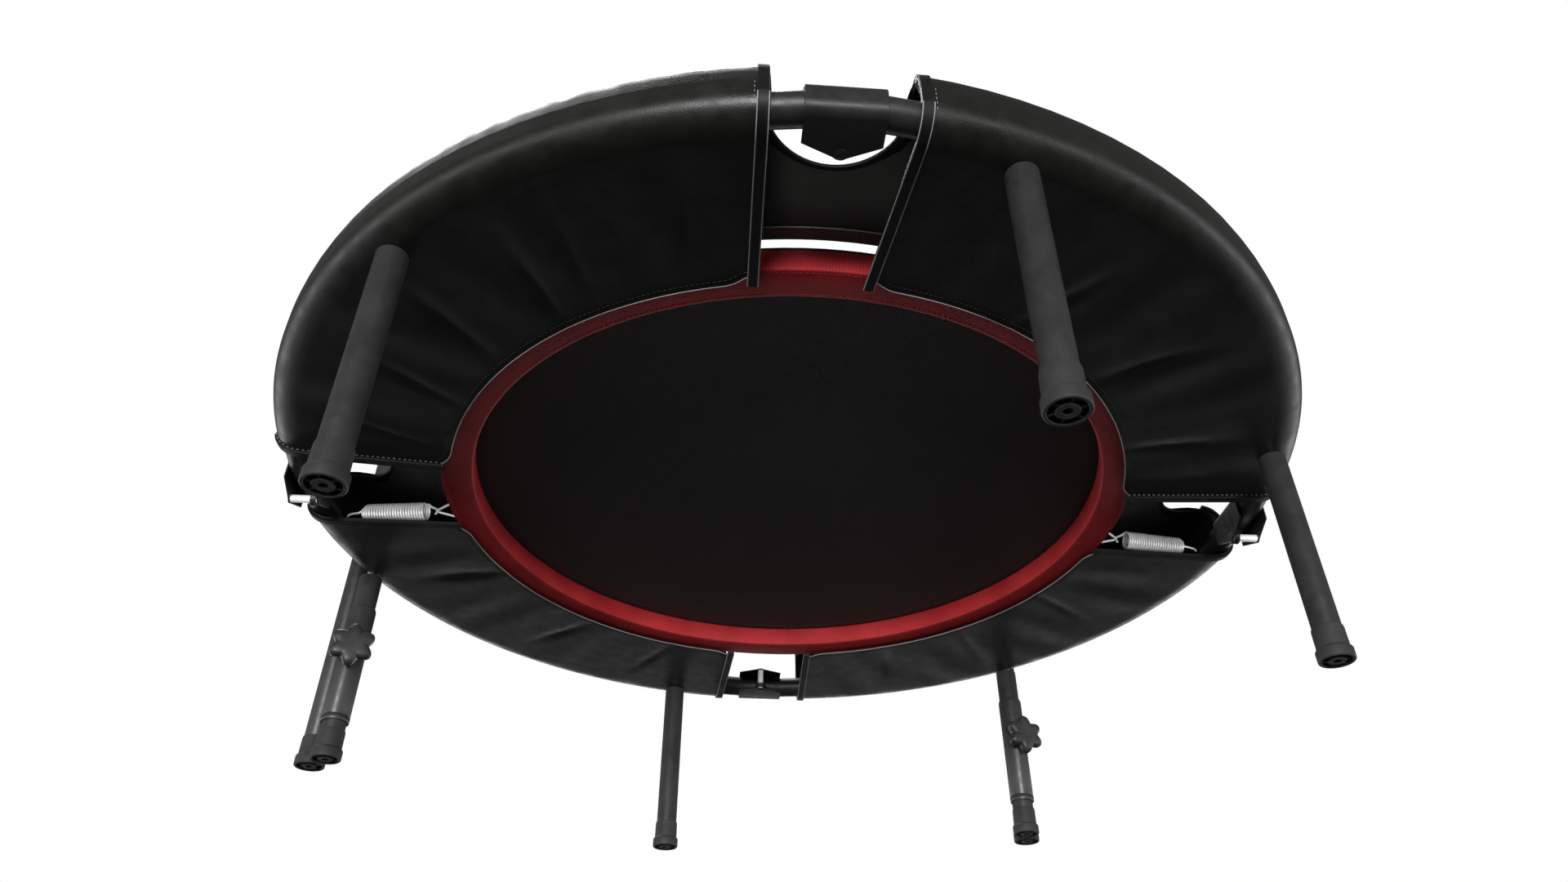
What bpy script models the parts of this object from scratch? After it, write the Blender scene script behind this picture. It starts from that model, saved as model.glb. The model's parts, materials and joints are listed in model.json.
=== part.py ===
"""Folding mini trampoline with a clamped-on handlebar.

A round tube rim in four quadrants, joined by four U-shaped hinge brackets, stands on six legs.
Springs pull a round mat with a deep red border towards the rim, a padded cover lies over the
springs and wraps round the rim, and a U-shaped handlebar stands on two posts outside the rear
half, each clamped to a leg by a sleeve with a star knob. The rear half folds down about the
left and right hinge pins.

Metres, +Z up, origin on the floor under the mat's centre. +X is towards the right hinge and
+Y towards the rear hinge.
"""

import math

import bmesh
import bpy
from mathutils import Matrix, Vector

GAP = 0.0003                      # clearance between pieces that touch

# Rim tube and hinge brackets
RIM_RADIUS = 0.4935               # centre line of the tube
RIM_HEIGHT = 0.2323               # centre line above the floor
TUBE_RADIUS = 0.013
TUBE_WALL = 0.0015
RIM_SIDES = 12
STRAIGHT_END = 0.030              # straight stretch of tube inside each bracket
END_GAP = 0.0005                  # from a hinge plane to a tube's end
BRACKET_HALF_WIDTH = 0.029
BRACKET_HALF_GAP = 0.0134         # tube centre to the inside of a flange
BRACKET_PLATE = 0.0015
BRACKET_BEND = 0.0095             # outer radius of the plate's two bends
SHOULDER_DROP = 0.0165            # tube centre to where a flange starts to taper
TIP_DROP = 0.030                  # tube centre to a flange's tip
PIN_DROP = 0.0245                 # tube centre to the hinge pin
PIN_RADIUS = 0.004
PIN_HEAD_RADIUS = 0.0052
EYE_RADIUS = 0.0072
EYE_BORE = 0.0046
EYE_THICKNESS = 0.005
PIN_HEIGHT = RIM_HEIGHT - PIN_DROP

# Mat, its border, springs
MAT_RADIUS = 0.354
MAT_THICKNESS = 0.002
BORDER_INNER = 0.323
BORDER_OUTER = 0.3545
BORDER_BOTTOM = 0.2181
BORDER_TOP = 0.2408
SPRING_INNER = 0.3835
SPRING_OUTER = 0.4580
SPRING_RADIUS = 0.0098
HOOK_RADIUS = 0.0013
HOOK_INNER = 0.3770
HOOK_OUTER = 0.4795
SIDE_SPRING_ANGLE = 8.0           # degrees from the left or right hinge to its nearest springs
END_SPRING_ANGLE = 11.2           # degrees from the front or rear hinge to its nearest springs

# Cover: top pad, and a skirt that wraps the rim and ends under the border
COVER_RADIUS = 0.5095
PAD_BOTTOM = 0.248
PAD_INNER = 0.359
FLAP_THICKNESS = 0.002
FLAP_BOTTOM = 0.2134
FLAP_INNER = 0.344
FLAP_CORNER = 0.0045
# From a hinge's middle to each flap's first and last side, at its inner and its outer edge
FLAP_EDGES = {
    "rear_right": ((0.045, 0.050), (0.049, 0.0545)),
    "rear_left": ((0.042, 0.0545), (0.044, 0.046)),
    "front_left": ((0.057, 0.072), (0.051, 0.053)),
    "front_right": ((0.0335, 0.0525), (0.054, 0.067)),
}
NOTCH_HALF_WIDTH = 0.053
NOTCH_RADIUS = 0.465              # where the pad's notch has its full width
NOTCH_DEPTH = 0.0455

# Legs and feet. Azimuths are counted from the handlebar's direction.
HANDLE_AZIMUTH = 104.3
LEG_CIRCLE = 0.4827
CLAMP_LEG_CIRCLE = 0.4994
CLAMP_LEG_ANGLE = 55.2
LEG_OFFSETS = {
    "rear_mid": 0.0,
    "rear_left": CLAMP_LEG_ANGLE,
    "front_left": 122.0,
    "front_mid": 181.3,
    "front_right": 238.9,
    "rear_right": -CLAMP_LEG_ANGLE,
}
LEG_RADIUS = 0.0125
LEG_SIDES = 14
LEG_TOP = FLAP_BOTTOM - GAP
CAP_LOWER_RADIUS = 0.0157
CAP_UPPER_RADIUS = 0.0138
CAP_STEP = 0.0105
CAP_HEIGHT = 0.031
CAP_FLOOR = 0.006                 # the tube stands on this much rubber
STUD_RADIUS = 0.004
STUD_BOTTOM = 0.192
BOSS_RADIUS = 0.0055
BOSS_TOP = RIM_HEIGHT - 0.004

# Handlebar
POST_CIRCLE = 0.529
POST_ANGLE = 53.7
POST_TOP = 0.600
POST_X = POST_CIRCLE * math.sin(math.radians(POST_ANGLE))
POST_Y = POST_CIRCLE * math.cos(math.radians(POST_ANGLE))
CLAMP_X = CLAMP_LEG_CIRCLE * math.sin(math.radians(CLAMP_LEG_ANGLE))
CLAMP_Y = CLAMP_LEG_CIRCLE * math.cos(math.radians(CLAMP_LEG_ANGLE))
SLEEVE_RADIUS = 0.0145
SLEEVE_BORE = 0.0130
SLEEVE_BOTTOM = 0.0395
SLEEVE_TOP = 0.173
WEB_THICKNESS = 0.006
KNOB_HEIGHT = 0.118
KNOB_BORE = 0.0047
KNOB_STEM = 0.004
KNOB_FACE = 0.034                 # leg axis to the knob's outer face
KNOB_BACK = 0.021
KNOB_TIP_RADIUS = 0.0245
KNOB_VALLEY_RADIUS = 0.0170
KNOB_LOBES = 6
BAR_RADIUS = 0.0102
BAR_BOTTOM = 0.330
BAR_TOP = 0.860
BAR_BEND = 0.080
GRIP_RADIUS = 0.0165
GRIP_HALF_LENGTH = 0.240
COLLAR_RADIUS = 0.0165
COLLAR_BOTTOM = 0.562
COLLAR_TOP = 0.610

HINGES = ("right", "rear", "left", "front")           # at 0, 90, 180 and 270 degrees
QUADRANTS = ("rear_right", "rear_left", "front_left", "front_right")


# ---------------------------------------------------------------- materials and objects

def material(name, colour, roughness, metallic=0.0):
    made = bpy.data.materials.new(name)
    made.use_nodes = True
    shader = made.node_tree.nodes["Principled BSDF"]
    shader.inputs["Base Color"].default_value = (*colour, 1.0)
    shader.inputs["Roughness"].default_value = roughness
    shader.inputs["Metallic"].default_value = metallic
    return made


def build_mesh(name, points, faces):
    """A closed mesh with its faces pointing out."""
    mesh = bpy.data.meshes.new(name)
    mesh.from_pydata([tuple(p) for p in points], [], faces)
    editable = bmesh.new()
    editable.from_mesh(mesh)
    bmesh.ops.recalc_face_normals(editable, faces=editable.faces)
    editable.to_mesh(mesh)
    editable.free()
    return mesh


def place(name, mesh, finish, parent=None, matrix=None):
    """Puts a mesh in the scene as one sub-part, where matrix says in world space."""
    mesh.materials.clear()
    mesh.materials.append(finish)
    mesh.shade_smooth()
    mesh.set_sharp_from_angle(angle=math.radians(35))
    part = bpy.data.objects.new(name, mesh)
    bpy.context.collection.objects.link(part)
    world = matrix or Matrix.Identity(4)
    if parent:
        part.parent = parent
        world = parent.matrix_basis.inverted() @ world
    part.matrix_basis = world
    return part


def joint_empty(name, position, azimuth=0.0, parent=None):
    empty = bpy.data.objects.new(name, None)
    bpy.context.collection.objects.link(empty)
    empty.matrix_basis = Matrix.Translation(position) @ Matrix.Rotation(math.radians(azimuth), 4, "Z")
    if parent:
        empty.parent = parent
        empty.matrix_basis = parent.matrix_basis.inverted() @ empty.matrix_basis
    return empty


def boolean(base, cutter, operation):
    """The mesh of base joined with, or cut by, another mesh."""
    first = bpy.data.objects.new("base", base)
    second = bpy.data.objects.new("tool", cutter)
    for helper in (first, second):
        bpy.context.collection.objects.link(helper)
        helper.hide_render = True
        helper.display_type = "WIRE"
    modifier = first.modifiers.new("boolean", "BOOLEAN")
    modifier.operation = operation
    modifier.object = second
    graph = bpy.context.evaluated_depsgraph_get()
    result = bpy.data.meshes.new_from_object(first.evaluated_get(graph))
    bpy.data.objects.remove(first)
    bpy.data.objects.remove(second)
    result.name = base.name
    return result


# ---------------------------------------------------------------- shapes

def at_angle(radius, degrees, height=0.0):
    angle = math.radians(degrees)
    return Vector((radius * math.cos(angle), radius * math.sin(angle), height))


def ring_faces(rings, sides, closed):
    """Quads between successive rings of points, and round from the last to the first if closed."""
    faces = []
    for ring in range(rings if closed else rings - 1):
        following = (ring + 1) % rings
        for side in range(sides):
            across = (side + 1) % sides
            faces.append((ring * sides + side, ring * sides + across,
                          following * sides + across, following * sides + side))
    return faces


def revolve(name, outline, sides, closed=True):
    """Turns a radius-height outline about Z. An open outline is closed by a flat face at each end."""
    points = [Vector((r * math.cos(math.tau * s / sides), r * math.sin(math.tau * s / sides), z))
              for r, z in outline for s in range(sides)]
    faces = ring_faces(len(outline), sides, closed)
    if not closed:
        faces.append(tuple(range(sides)))
        faces.append(tuple(range(len(points) - sides, len(points))))
    return build_mesh(name, points, faces)


def loft(name, sections, hollow=False):
    """Joins sections of equally many points, with flat ends. A hollow loft's sections hold the
    outer points and then as many inner points, and its ends are open rings."""
    sides = len(sections[0])
    points = [point for section in sections for point in section]
    if not hollow:
        faces = ring_faces(len(sections), sides, False)
        faces.append(tuple(range(sides)))
        faces.append(tuple(range(len(points) - sides, len(points))))
        return build_mesh(name, points, faces)
    half = sides // 2
    faces = []
    for start in (0, half):
        for row in range(len(sections) - 1):
            here, there = row * sides + start, (row + 1) * sides + start
            for side in range(half):
                across = (side + 1) % half
                faces.append((here + side, here + across, there + across, there + side))
    for row in (0, len(sections) - 1):
        outer = row * sides
        for side in range(half):
            across = (side + 1) % half
            faces.append((outer + side, outer + across, outer + half + across, outer + half + side))
    return build_mesh(name, points, faces)


def tube(name, path, radius, wall, sides, up=Vector((0.0, 0.0, 1.0))):
    """A tube with open ends along a path that lies in one plane, whose normal is up."""
    sections = []
    for index, point in enumerate(path):
        before = path[max(index - 1, 0)]
        after = path[min(index + 1, len(path) - 1)]
        onward = (after - before).normalized()
        if 0 < index < len(path) - 1:
            first = (point - before).normalized()
            stretch = 1.0 / max(onward.dot(first), 0.5)
        else:
            stretch = 1.0
        across = onward.cross(up).normalized()
        section = []
        for distance in (radius, radius - wall):
            for side in range(sides):
                turn = math.tau * (side + 0.5) / sides
                section.append(point + across * (distance * stretch * math.cos(turn))
                               + up * (distance * math.sin(turn)))
        sections.append(section)
    return loft(name, sections, hollow=True)


def prism(name, outline, low, high):
    """An outline in X and Y, drawn out along Z."""
    points = [Vector((x, y, z)) for z in (low, high) for x, y in outline]
    count = len(outline)
    faces = ring_faces(2, count, False)
    faces.append(tuple(range(count)))
    faces.append(tuple(range(count, 2 * count)))
    return build_mesh(name, points, faces)


def circle(radius, sides, centre=(0.0, 0.0)):
    return [(centre[0] + radius * math.cos(math.tau * s / sides),
             centre[1] + radius * math.sin(math.tau * s / sides)) for s in range(sides)]


def box(name, low, high):
    corners = [(low[0], low[1]), (high[0], low[1]), (high[0], high[1]), (low[0], high[1])]
    return prism(name, corners, low[2], high[2])


def frame_matrix(origin, x_axis, y_axis, z_axis):
    turn = Matrix((x_axis, y_axis, z_axis)).transposed().to_4x4()
    return Matrix.Translation(origin) @ turn


# ---------------------------------------------------------------- rim and hinges

def hinge_matrix(hinge):
    """At the tube's centre in a hinge: local X along the tube, local Y towards the pin, and
    local Z along the pin. The side brackets open downwards, and the end ones towards the centre."""
    degrees = 90.0 * HINGES.index(hinge)
    origin = at_angle(RIM_RADIUS, degrees, RIM_HEIGHT)
    if hinge in ("left", "right"):
        along, drop = Vector((0.0, 1.0, 0.0)), Vector((0.0, 0.0, -1.0))
    else:
        along, drop = Vector((1.0, 0.0, 0.0)), -at_angle(1.0, degrees)
    return frame_matrix(origin, along, drop, along.cross(drop))


def eye_side(hinge):
    """Which way along the pin the eye sits: by the inner flange, or by the lower one."""
    return -1.0 if hinge in ("left", "front") else 1.0


def eye_mesh(hinge):
    """The welded ear of the swinging tube, with the pin's bore at local (0, PIN_DROP)."""
    root_end, root_drop = 0.013, TUBE_RADIUS - 0.0012
    outline = [(0.0014, root_drop), (root_end, root_drop), (root_end, 0.0180)]
    start, stop, steps = -20.0, 200.0, 10
    for step in range(steps + 1):
        turn = math.radians(start + (stop - start) * step / steps)
        outline.append((EYE_RADIUS * math.cos(turn), PIN_DROP + EYE_RADIUS * math.sin(turn)))
    outline.append((-EYE_RADIUS * 0.7, PIN_DROP - EYE_RADIUS * 0.75))
    outline.append((0.0014, PIN_DROP - EYE_RADIUS - 0.0012))
    middle = eye_side(hinge) * (BRACKET_HALF_GAP - 0.0010 - EYE_THICKNESS / 2)
    low, high = middle - EYE_THICKNESS / 2, middle + EYE_THICKNESS / 2
    plate = prism("eye", outline, low, high)
    bore = prism("bore", circle(EYE_BORE, 12, (0.0, PIN_DROP)), low - 0.001, high + 0.001)
    return boolean(plate, bore, "DIFFERENCE")


def eye_root(hinge):
    """A gusset from the ear to the tube's wall, so that the ear meets the round tube."""
    side = eye_side(hinge)
    depth = (BRACKET_HALF_GAP - 0.0010) * side
    near = (BRACKET_HALF_GAP - 0.0010 - EYE_THICKNESS) * side
    low, high = min(near, depth), max(near, depth)
    return box("gusset", (0.0014, 0.0055, low), (0.013, TUBE_RADIUS, high))


def rim_path(quadrant):
    start = 90.0 * QUADRANTS.index(quadrant)
    ends = []
    for hinge_angle, towards in ((start, 1.0), (start + 90.0, -1.0)):
        outward = at_angle(1.0, hinge_angle)
        along = at_angle(1.0, hinge_angle + 90.0) * towards
        base = outward * RIM_RADIUS + Vector((0.0, 0.0, RIM_HEIGHT))
        ends.append([base + along * END_GAP, base + along * STRAIGHT_END])
    arc = [at_angle(RIM_RADIUS, start + 6.0 * step, RIM_HEIGHT) for step in range(1, 15)]
    return ends[0] + arc + ends[1][::-1]


def make_rim(bodies, steel):
    """Rear tubes carry the eyes of the side hinges; right-hand tubes those of the end hinges."""
    eyes = {"rear_right": ("right", "rear"), "rear_left": ("left",), "front_right": ("front",)}
    for quadrant in QUADRANTS:
        mesh = tube(f"rim_{quadrant}", rim_path(quadrant), TUBE_RADIUS, TUBE_WALL, RIM_SIDES)
        for hinge in eyes.get(quadrant, ()):
            for piece in (eye_root(hinge), eye_mesh(hinge)):
                piece.transform(hinge_matrix(hinge))
                mesh = boolean(mesh, piece, "UNION")
        place(f"rim_{quadrant}", mesh, steel, bodies[quadrant.split("_")[0]])


def bracket_outline():
    """The bent plate's section in local Y and Z: round the outside, then back round the inside."""
    outline = []
    for offset in (BRACKET_PLATE, 0.0):
        half, bend = BRACKET_HALF_GAP + offset, BRACKET_BEND - BRACKET_PLATE + offset
        side = [(TIP_DROP + 0.01, half)]
        for step in range(6):
            turn = math.radians(90.0 + 18.0 * step)
            side.append((bend - half + bend * math.cos(turn), half - bend + bend * math.sin(turn)))
        side += [(y, -z) for y, z in reversed(side)]
        outline += side if offset else side[::-1]
    return outline


def bracket_mesh():
    """A U of plate: a web behind the tube and two flanges that taper to a tip, with the pin's holes."""
    half = BRACKET_HALF_WIDTH
    reach = BRACKET_HALF_GAP + BRACKET_PLATE + 0.002
    mesh = prism("bracket", bracket_outline(), -half, half)
    mesh.transform(Matrix(((0, 0, 1, 0), (1, 0, 0, 0), (0, 1, 0, 0), (0, 0, 0, 1))))
    outline = [(-half - 0.001, -reach), (half + 0.001, -reach), (half + 0.001, SHOULDER_DROP),
               (0.0, TIP_DROP), (-half - 0.001, SHOULDER_DROP)]
    mesh = boolean(mesh, prism("shape", outline, -reach, reach), "INTERSECT")
    hole = prism("hole", circle(PIN_RADIUS + 0.0004, 12, (0.0, PIN_DROP)), -reach, reach)
    return boolean(mesh, hole, "DIFFERENCE")


def pin_mesh():
    outside = BRACKET_HALF_GAP + BRACKET_PLATE + GAP
    head = outside + 0.0016
    outline = [(PIN_HEAD_RADIUS, -head), (PIN_HEAD_RADIUS, -outside), (PIN_RADIUS, -outside),
               (PIN_RADIUS, outside), (PIN_HEAD_RADIUS, outside), (PIN_HEAD_RADIUS, head)]
    mesh = revolve("pin", outline, 12, closed=False)
    mesh.transform(Matrix.Translation((0.0, PIN_DROP, 0.0)))
    return mesh


def make_hinges(bodies, steel, zinc):
    for hinge in HINGES:
        body = bodies["rear"] if hinge == "rear" else bodies["front"]
        place(f"hinge_bracket_{hinge}", bracket_mesh(), steel, body, hinge_matrix(hinge))
        place(f"hinge_pin_{hinge}", pin_mesh(), zinc, body, hinge_matrix(hinge))


# ---------------------------------------------------------------- legs and feet

def leg_position(name):
    circle_radius = CLAMP_LEG_CIRCLE if name in ("rear_left", "rear_right") else LEG_CIRCLE
    return at_angle(circle_radius, HANDLE_AZIMUTH + LEG_OFFSETS[name])


def leg_mesh(name):
    """An open tube whose top holds a thick threaded plug."""
    inner, plug = LEG_RADIUS - TUBE_WALL, LEG_TOP - 0.017
    outline = [(inner, CAP_FLOOR + GAP), (LEG_RADIUS, CAP_FLOOR + GAP), (LEG_RADIUS, LEG_TOP),
               (STUD_RADIUS + 0.0005, LEG_TOP), (STUD_RADIUS + 0.0005, plug), (inner, plug)]
    return revolve(name, outline, LEG_SIDES)


def socket_mesh(name):
    """A boss with a stud for the leg, notched to sit against the underside of the rim tube."""
    outline = [(STUD_RADIUS, STUD_BOTTOM), (STUD_RADIUS, FLAP_BOTTOM + FLAP_THICKNESS + GAP),
               (BOSS_RADIUS, FLAP_BOTTOM + FLAP_THICKNESS + GAP), (BOSS_RADIUS, BOSS_TOP)]
    boss = revolve("boss", outline, 12, closed=False)
    where = leg_position(name)
    boss.transform(Matrix.Translation(where))
    outward, up = where.normalized(), Vector((0.0, 0.0, 1.0))
    seat = prism("seat", circle(TUBE_RADIUS + 0.0014, 16), -0.02, 0.02)
    centre = outward * RIM_RADIUS + up * RIM_HEIGHT
    seat.transform(frame_matrix(centre, outward, up, outward.cross(up)))
    return boolean(boss, seat, "DIFFERENCE")


def foot_mesh(name):
    """A stepped rubber cap, hollow above for the tube, with a ring-shaped recess underneath."""
    outline = [(0.0028, CAP_FLOOR), (0.0028, 0.0), (0.0078, 0.0), (0.0078, 0.0035), (0.0128, 0.0035),
               (0.0128, 0.0), (CAP_LOWER_RADIUS, 0.0), (CAP_LOWER_RADIUS, CAP_STEP),
               (CAP_UPPER_RADIUS, CAP_STEP + 0.0008), (CAP_UPPER_RADIUS, CAP_HEIGHT),
               (LEG_RADIUS + GAP, CAP_HEIGHT), (LEG_RADIUS + GAP, CAP_FLOOR)]
    return revolve(name, outline, LEG_SIDES)


def make_legs(bodies, steel, zinc, rubber):
    for name in LEG_OFFSETS:
        body = bodies[name.split("_")[0]]
        where = Matrix.Translation(leg_position(name))
        place(f"leg_{name}", leg_mesh(name), steel, body, where)
        place(f"foot_{name}", foot_mesh(name), rubber, body, where)
        place(f"leg_socket_{name}", socket_mesh(name), zinc, body)


# ---------------------------------------------------------------- mat, border and springs

def half_angles(half, radius, steps):
    """Angles of one half, held a little short of the fold plane."""
    margin = math.degrees(GAP / radius)
    start = 180.0 if half == "front" else 0.0
    return [start + margin + (180.0 - 2 * margin) * step / steps for step in range(steps + 1)]


def make_mat(bodies, mesh_fabric, red):
    for half in ("front", "rear"):
        edge = [at_angle(MAT_RADIUS, degrees) for degrees in half_angles(half, MAT_RADIUS, 28)]
        outline = [(point.x, point.y) for point in edge]
        low = BORDER_TOP + GAP
        place(f"jump_mat_{half}", prism("mat", outline, low, low + MAT_THICKNESS), mesh_fabric, bodies[half])
        sections = []
        for degrees in half_angles(half, BORDER_INNER, 28):
            sections.append([at_angle(radius, degrees, height) for radius, height in (
                (BORDER_INNER, BORDER_BOTTOM), (BORDER_OUTER, BORDER_BOTTOM),
                (BORDER_OUTER, BORDER_TOP), (BORDER_INNER, BORDER_TOP))])
        place(f"mat_border_{half}", loft("border", sections), red, bodies[half])


def spring_mesh():
    """The close-wound body of an extension spring with its two end wires, along local Z."""
    outline = [(HOOK_RADIUS, HOOK_INNER), (HOOK_RADIUS, SPRING_INNER - 0.001), (SPRING_RADIUS, SPRING_INNER),
               (SPRING_RADIUS, SPRING_OUTER - 0.014), (SPRING_RADIUS * 0.6, SPRING_OUTER),
               (HOOK_RADIUS, SPRING_OUTER + 0.001), (HOOK_RADIUS, HOOK_OUTER)]
    return revolve("spring", outline, 10, closed=False)


def make_springs(bodies, zinc):
    """The springs on each side of every hinge."""
    for index, hinge in enumerate(HINGES):
        offset = SIDE_SPRING_ANGLE if hinge in ("left", "right") else END_SPRING_ANGLE
        for label, sign in (("a", 1.0), ("b", -1.0)):
            degrees = 90.0 * index + sign * offset
            outward = at_angle(1.0, degrees)
            body = bodies["rear" if outward.y > 0 else "front"]
            turn = frame_matrix(Vector((0.0, 0.0, RIM_HEIGHT)), Vector((0.0, 0.0, 1.0)).cross(outward),
                                Vector((0.0, 0.0, -1.0)).cross(outward).cross(outward), outward)
            place(f"spring_{hinge}_{label}", spring_mesh(), zinc, body, turn)


# ---------------------------------------------------------------- cover

def pad_outline():
    """Radius and height round the pad's section: a padded sheet that rises over the rim."""
    inner_edge = [(PAD_INNER, PAD_BOTTOM), (PAD_INNER + 0.002, PAD_BOTTOM + 0.007)]
    crown = [(0.400, 0.2640), (0.440, 0.2745), (0.472, 0.2810), (0.486, 0.2805)]
    outer_edge = [(0.498, 0.2760), (0.507, 0.2640), (COVER_RADIUS, PAD_BOTTOM)]
    lining = [(COVER_RADIUS - 0.0055, PAD_BOTTOM), (0.5015, 0.2615), (0.4945, 0.2700), (0.485, 0.2740),
              (0.472, 0.2745), (0.440, 0.2685), (0.400, 0.2580), (0.372, PAD_BOTTOM + 0.0008)]
    return inner_edge + crown + outer_edge + lining


def notch_mesh(degrees):
    """A cutter for the pad's opening over a hinge: a half ellipse that runs out past the edge."""
    outline = [(0.53, -NOTCH_HALF_WIDTH)]
    steps = 12
    for step in range(steps + 1):
        turn = math.radians(-90.0 - 180.0 * step / steps)
        outline.append((NOTCH_RADIUS + NOTCH_DEPTH * math.cos(turn), NOTCH_HALF_WIDTH * math.sin(turn)))
    outline.append((0.53, NOTCH_HALF_WIDTH))
    mesh = prism("notch", outline, PAD_BOTTOM - 0.01, PAD_BOTTOM + 0.06)
    mesh.transform(Matrix.Rotation(math.radians(degrees), 4, "Z"))
    return mesh


def make_pads(bodies, vinyl):
    for half, notches in (("front", (180.0, 270.0, 360.0)), ("rear", (0.0, 90.0, 180.0))):
        sections = [[at_angle(radius, degrees, height) for radius, height in pad_outline()]
                    for degrees in half_angles(half, PAD_INNER, 32)]
        mesh = loft("pad", sections)
        for degrees in notches:
            mesh = boolean(mesh, notch_mesh(degrees), "DIFFERENCE")
        place(f"top_pad_{half}", mesh, vinyl, bodies[half])


def flap_outline():
    """Radius and height round a flap's section: up inside, over the rim edge, and back outside."""
    top, corner, thick = PAD_BOTTOM - GAP, FLAP_CORNER, FLAP_THICKNESS
    outside = [(FLAP_INNER, FLAP_BOTTOM), (0.42, FLAP_BOTTOM), (COVER_RADIUS - corner, FLAP_BOTTOM),
               (COVER_RADIUS, FLAP_BOTTOM + corner), (COVER_RADIUS, top)]
    inside = [(COVER_RADIUS - thick, top), (COVER_RADIUS - thick, FLAP_BOTTOM + corner),
              (COVER_RADIUS - corner, FLAP_BOTTOM + thick), (0.42, FLAP_BOTTOM + thick),
              (FLAP_INNER, FLAP_BOTTOM + thick)]
    return outside + inside


def edge_angle(quadrant, last, radius):
    """Degrees from a hinge to a flap's side edge, which leans a little off the radial."""
    share = (radius - FLAP_INNER) / (COVER_RADIUS - FLAP_INNER)
    inner, outer = FLAP_EDGES[quadrant][last]
    return math.degrees(math.asin((inner + (outer - inner) * share) / radius))


def make_flaps(bodies, vinyl):
    steps = 14
    for index, quadrant in enumerate(QUADRANTS):
        sections = []
        for step in range(steps + 1):
            section = []
            for radius, height in flap_outline():
                first, last = edge_angle(quadrant, 0, radius), edge_angle(quadrant, 1, radius)
                degrees = 90.0 * index + first + (90.0 - first - last) * step / steps
                section.append(at_angle(radius, degrees, height))
            sections.append(section)
        mesh = loft("flap", sections)
        for name in LEG_OFFSETS:
            where = leg_position(name)
            if int(math.degrees(math.atan2(where.y, where.x)) % 360.0 // 90.0) == index:
                outline = circle(STUD_RADIUS + 0.001, 12)
                hole = prism("hole", outline, FLAP_BOTTOM - 0.002, FLAP_BOTTOM + 0.004)
                hole.transform(Matrix.Translation(where))
                mesh = boolean(mesh, hole, "DIFFERENCE")
        place(f"underside_flap_{quadrant}", mesh, vinyl, bodies[quadrant.split("_")[0]])


# ---------------------------------------------------------------- handlebar

def sleeve_mesh(side):
    """The clamp sleeve on a leg, with a plate to the post and a threaded hole for the knob.
    Local frame: origin on the floor under the leg, local Y along the handlebar's direction."""
    sleeve = revolve("sleeve", [(SLEEVE_BORE, SLEEVE_BOTTOM), (SLEEVE_RADIUS, SLEEVE_BOTTOM),
                                (SLEEVE_RADIUS, SLEEVE_TOP - 0.002), (SLEEVE_RADIUS - 0.001, SLEEVE_TOP),
                                (SLEEVE_BORE, SLEEVE_TOP)], 16)
    to_post = Vector((side * (POST_X - CLAMP_X), POST_Y - CLAMP_Y, 0.0))
    reach = to_post.length - LEG_RADIUS - GAP
    plate = box("plate", (SLEEVE_RADIUS - 0.001, -WEB_THICKNESS / 2, SLEEVE_BOTTOM + 0.010),
                (reach, WEB_THICKNESS / 2, SLEEVE_TOP - 0.010))
    plate.transform(Matrix.Rotation(math.atan2(to_post.y, to_post.x), 4, "Z"))
    joined = boolean(sleeve, plate, "UNION")
    bore = prism("bore", circle(KNOB_BORE, 12), 0.009, 0.019)
    bore.transform(knob_matrix())
    return boolean(joined, bore, "DIFFERENCE")


def knob_matrix():
    """Local Z of a knob points away from the handlebar's direction, out of the sleeve."""
    return frame_matrix(Vector((0.0, 0.0, KNOB_HEIGHT)), Vector((1.0, 0.0, 0.0)),
                        Vector((0.0, 0.0, 1.0)), Vector((0.0, -1.0, 0.0)))


def knob_mesh():
    """A six-lobed hand knob on a stem."""
    star = []
    steps = 8 * KNOB_LOBES
    for step in range(steps):
        turn = math.tau * step / steps
        wave = 0.5 + 0.5 * math.cos(KNOB_LOBES * (turn - math.pi / 2))
        radius = KNOB_VALLEY_RADIUS + (KNOB_TIP_RADIUS - KNOB_VALLEY_RADIUS) * wave
        star.append((radius * math.cos(turn), radius * math.sin(turn)))
    head = prism("head", star, KNOB_BACK, KNOB_FACE)
    stem = prism("stem", circle(KNOB_STEM, 12), LEG_RADIUS + GAP, KNOB_BACK + 0.002)
    return boolean(head, stem, "UNION")


def bar_path():
    path = [Vector((-POST_X, 0.0, BAR_BOTTOM)), Vector((-POST_X, 0.0, POST_TOP + 0.02))]
    steps = 5
    for step in range(steps + 1):
        turn = math.radians(180.0 - 90.0 * step / steps)
        path.append(Vector((-POST_X + BAR_BEND + BAR_BEND * math.cos(turn), 0.0,
                            BAR_TOP - BAR_BEND + BAR_BEND * math.sin(turn))))
    return path + [Vector((-point.x, 0.0, point.z)) for point in reversed(path)]


def collar_mesh():
    lip = POST_TOP + GAP
    outline = [(LEG_RADIUS + GAP, COLLAR_BOTTOM), (COLLAR_RADIUS, COLLAR_BOTTOM),
               (COLLAR_RADIUS, COLLAR_TOP - 0.003), (COLLAR_RADIUS - 0.003, COLLAR_TOP),
               (BAR_RADIUS + 0.0007, COLLAR_TOP), (BAR_RADIUS + 0.0007, lip), (LEG_RADIUS + GAP, lip)]
    return revolve("collar", outline, LEG_SIDES)


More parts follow.
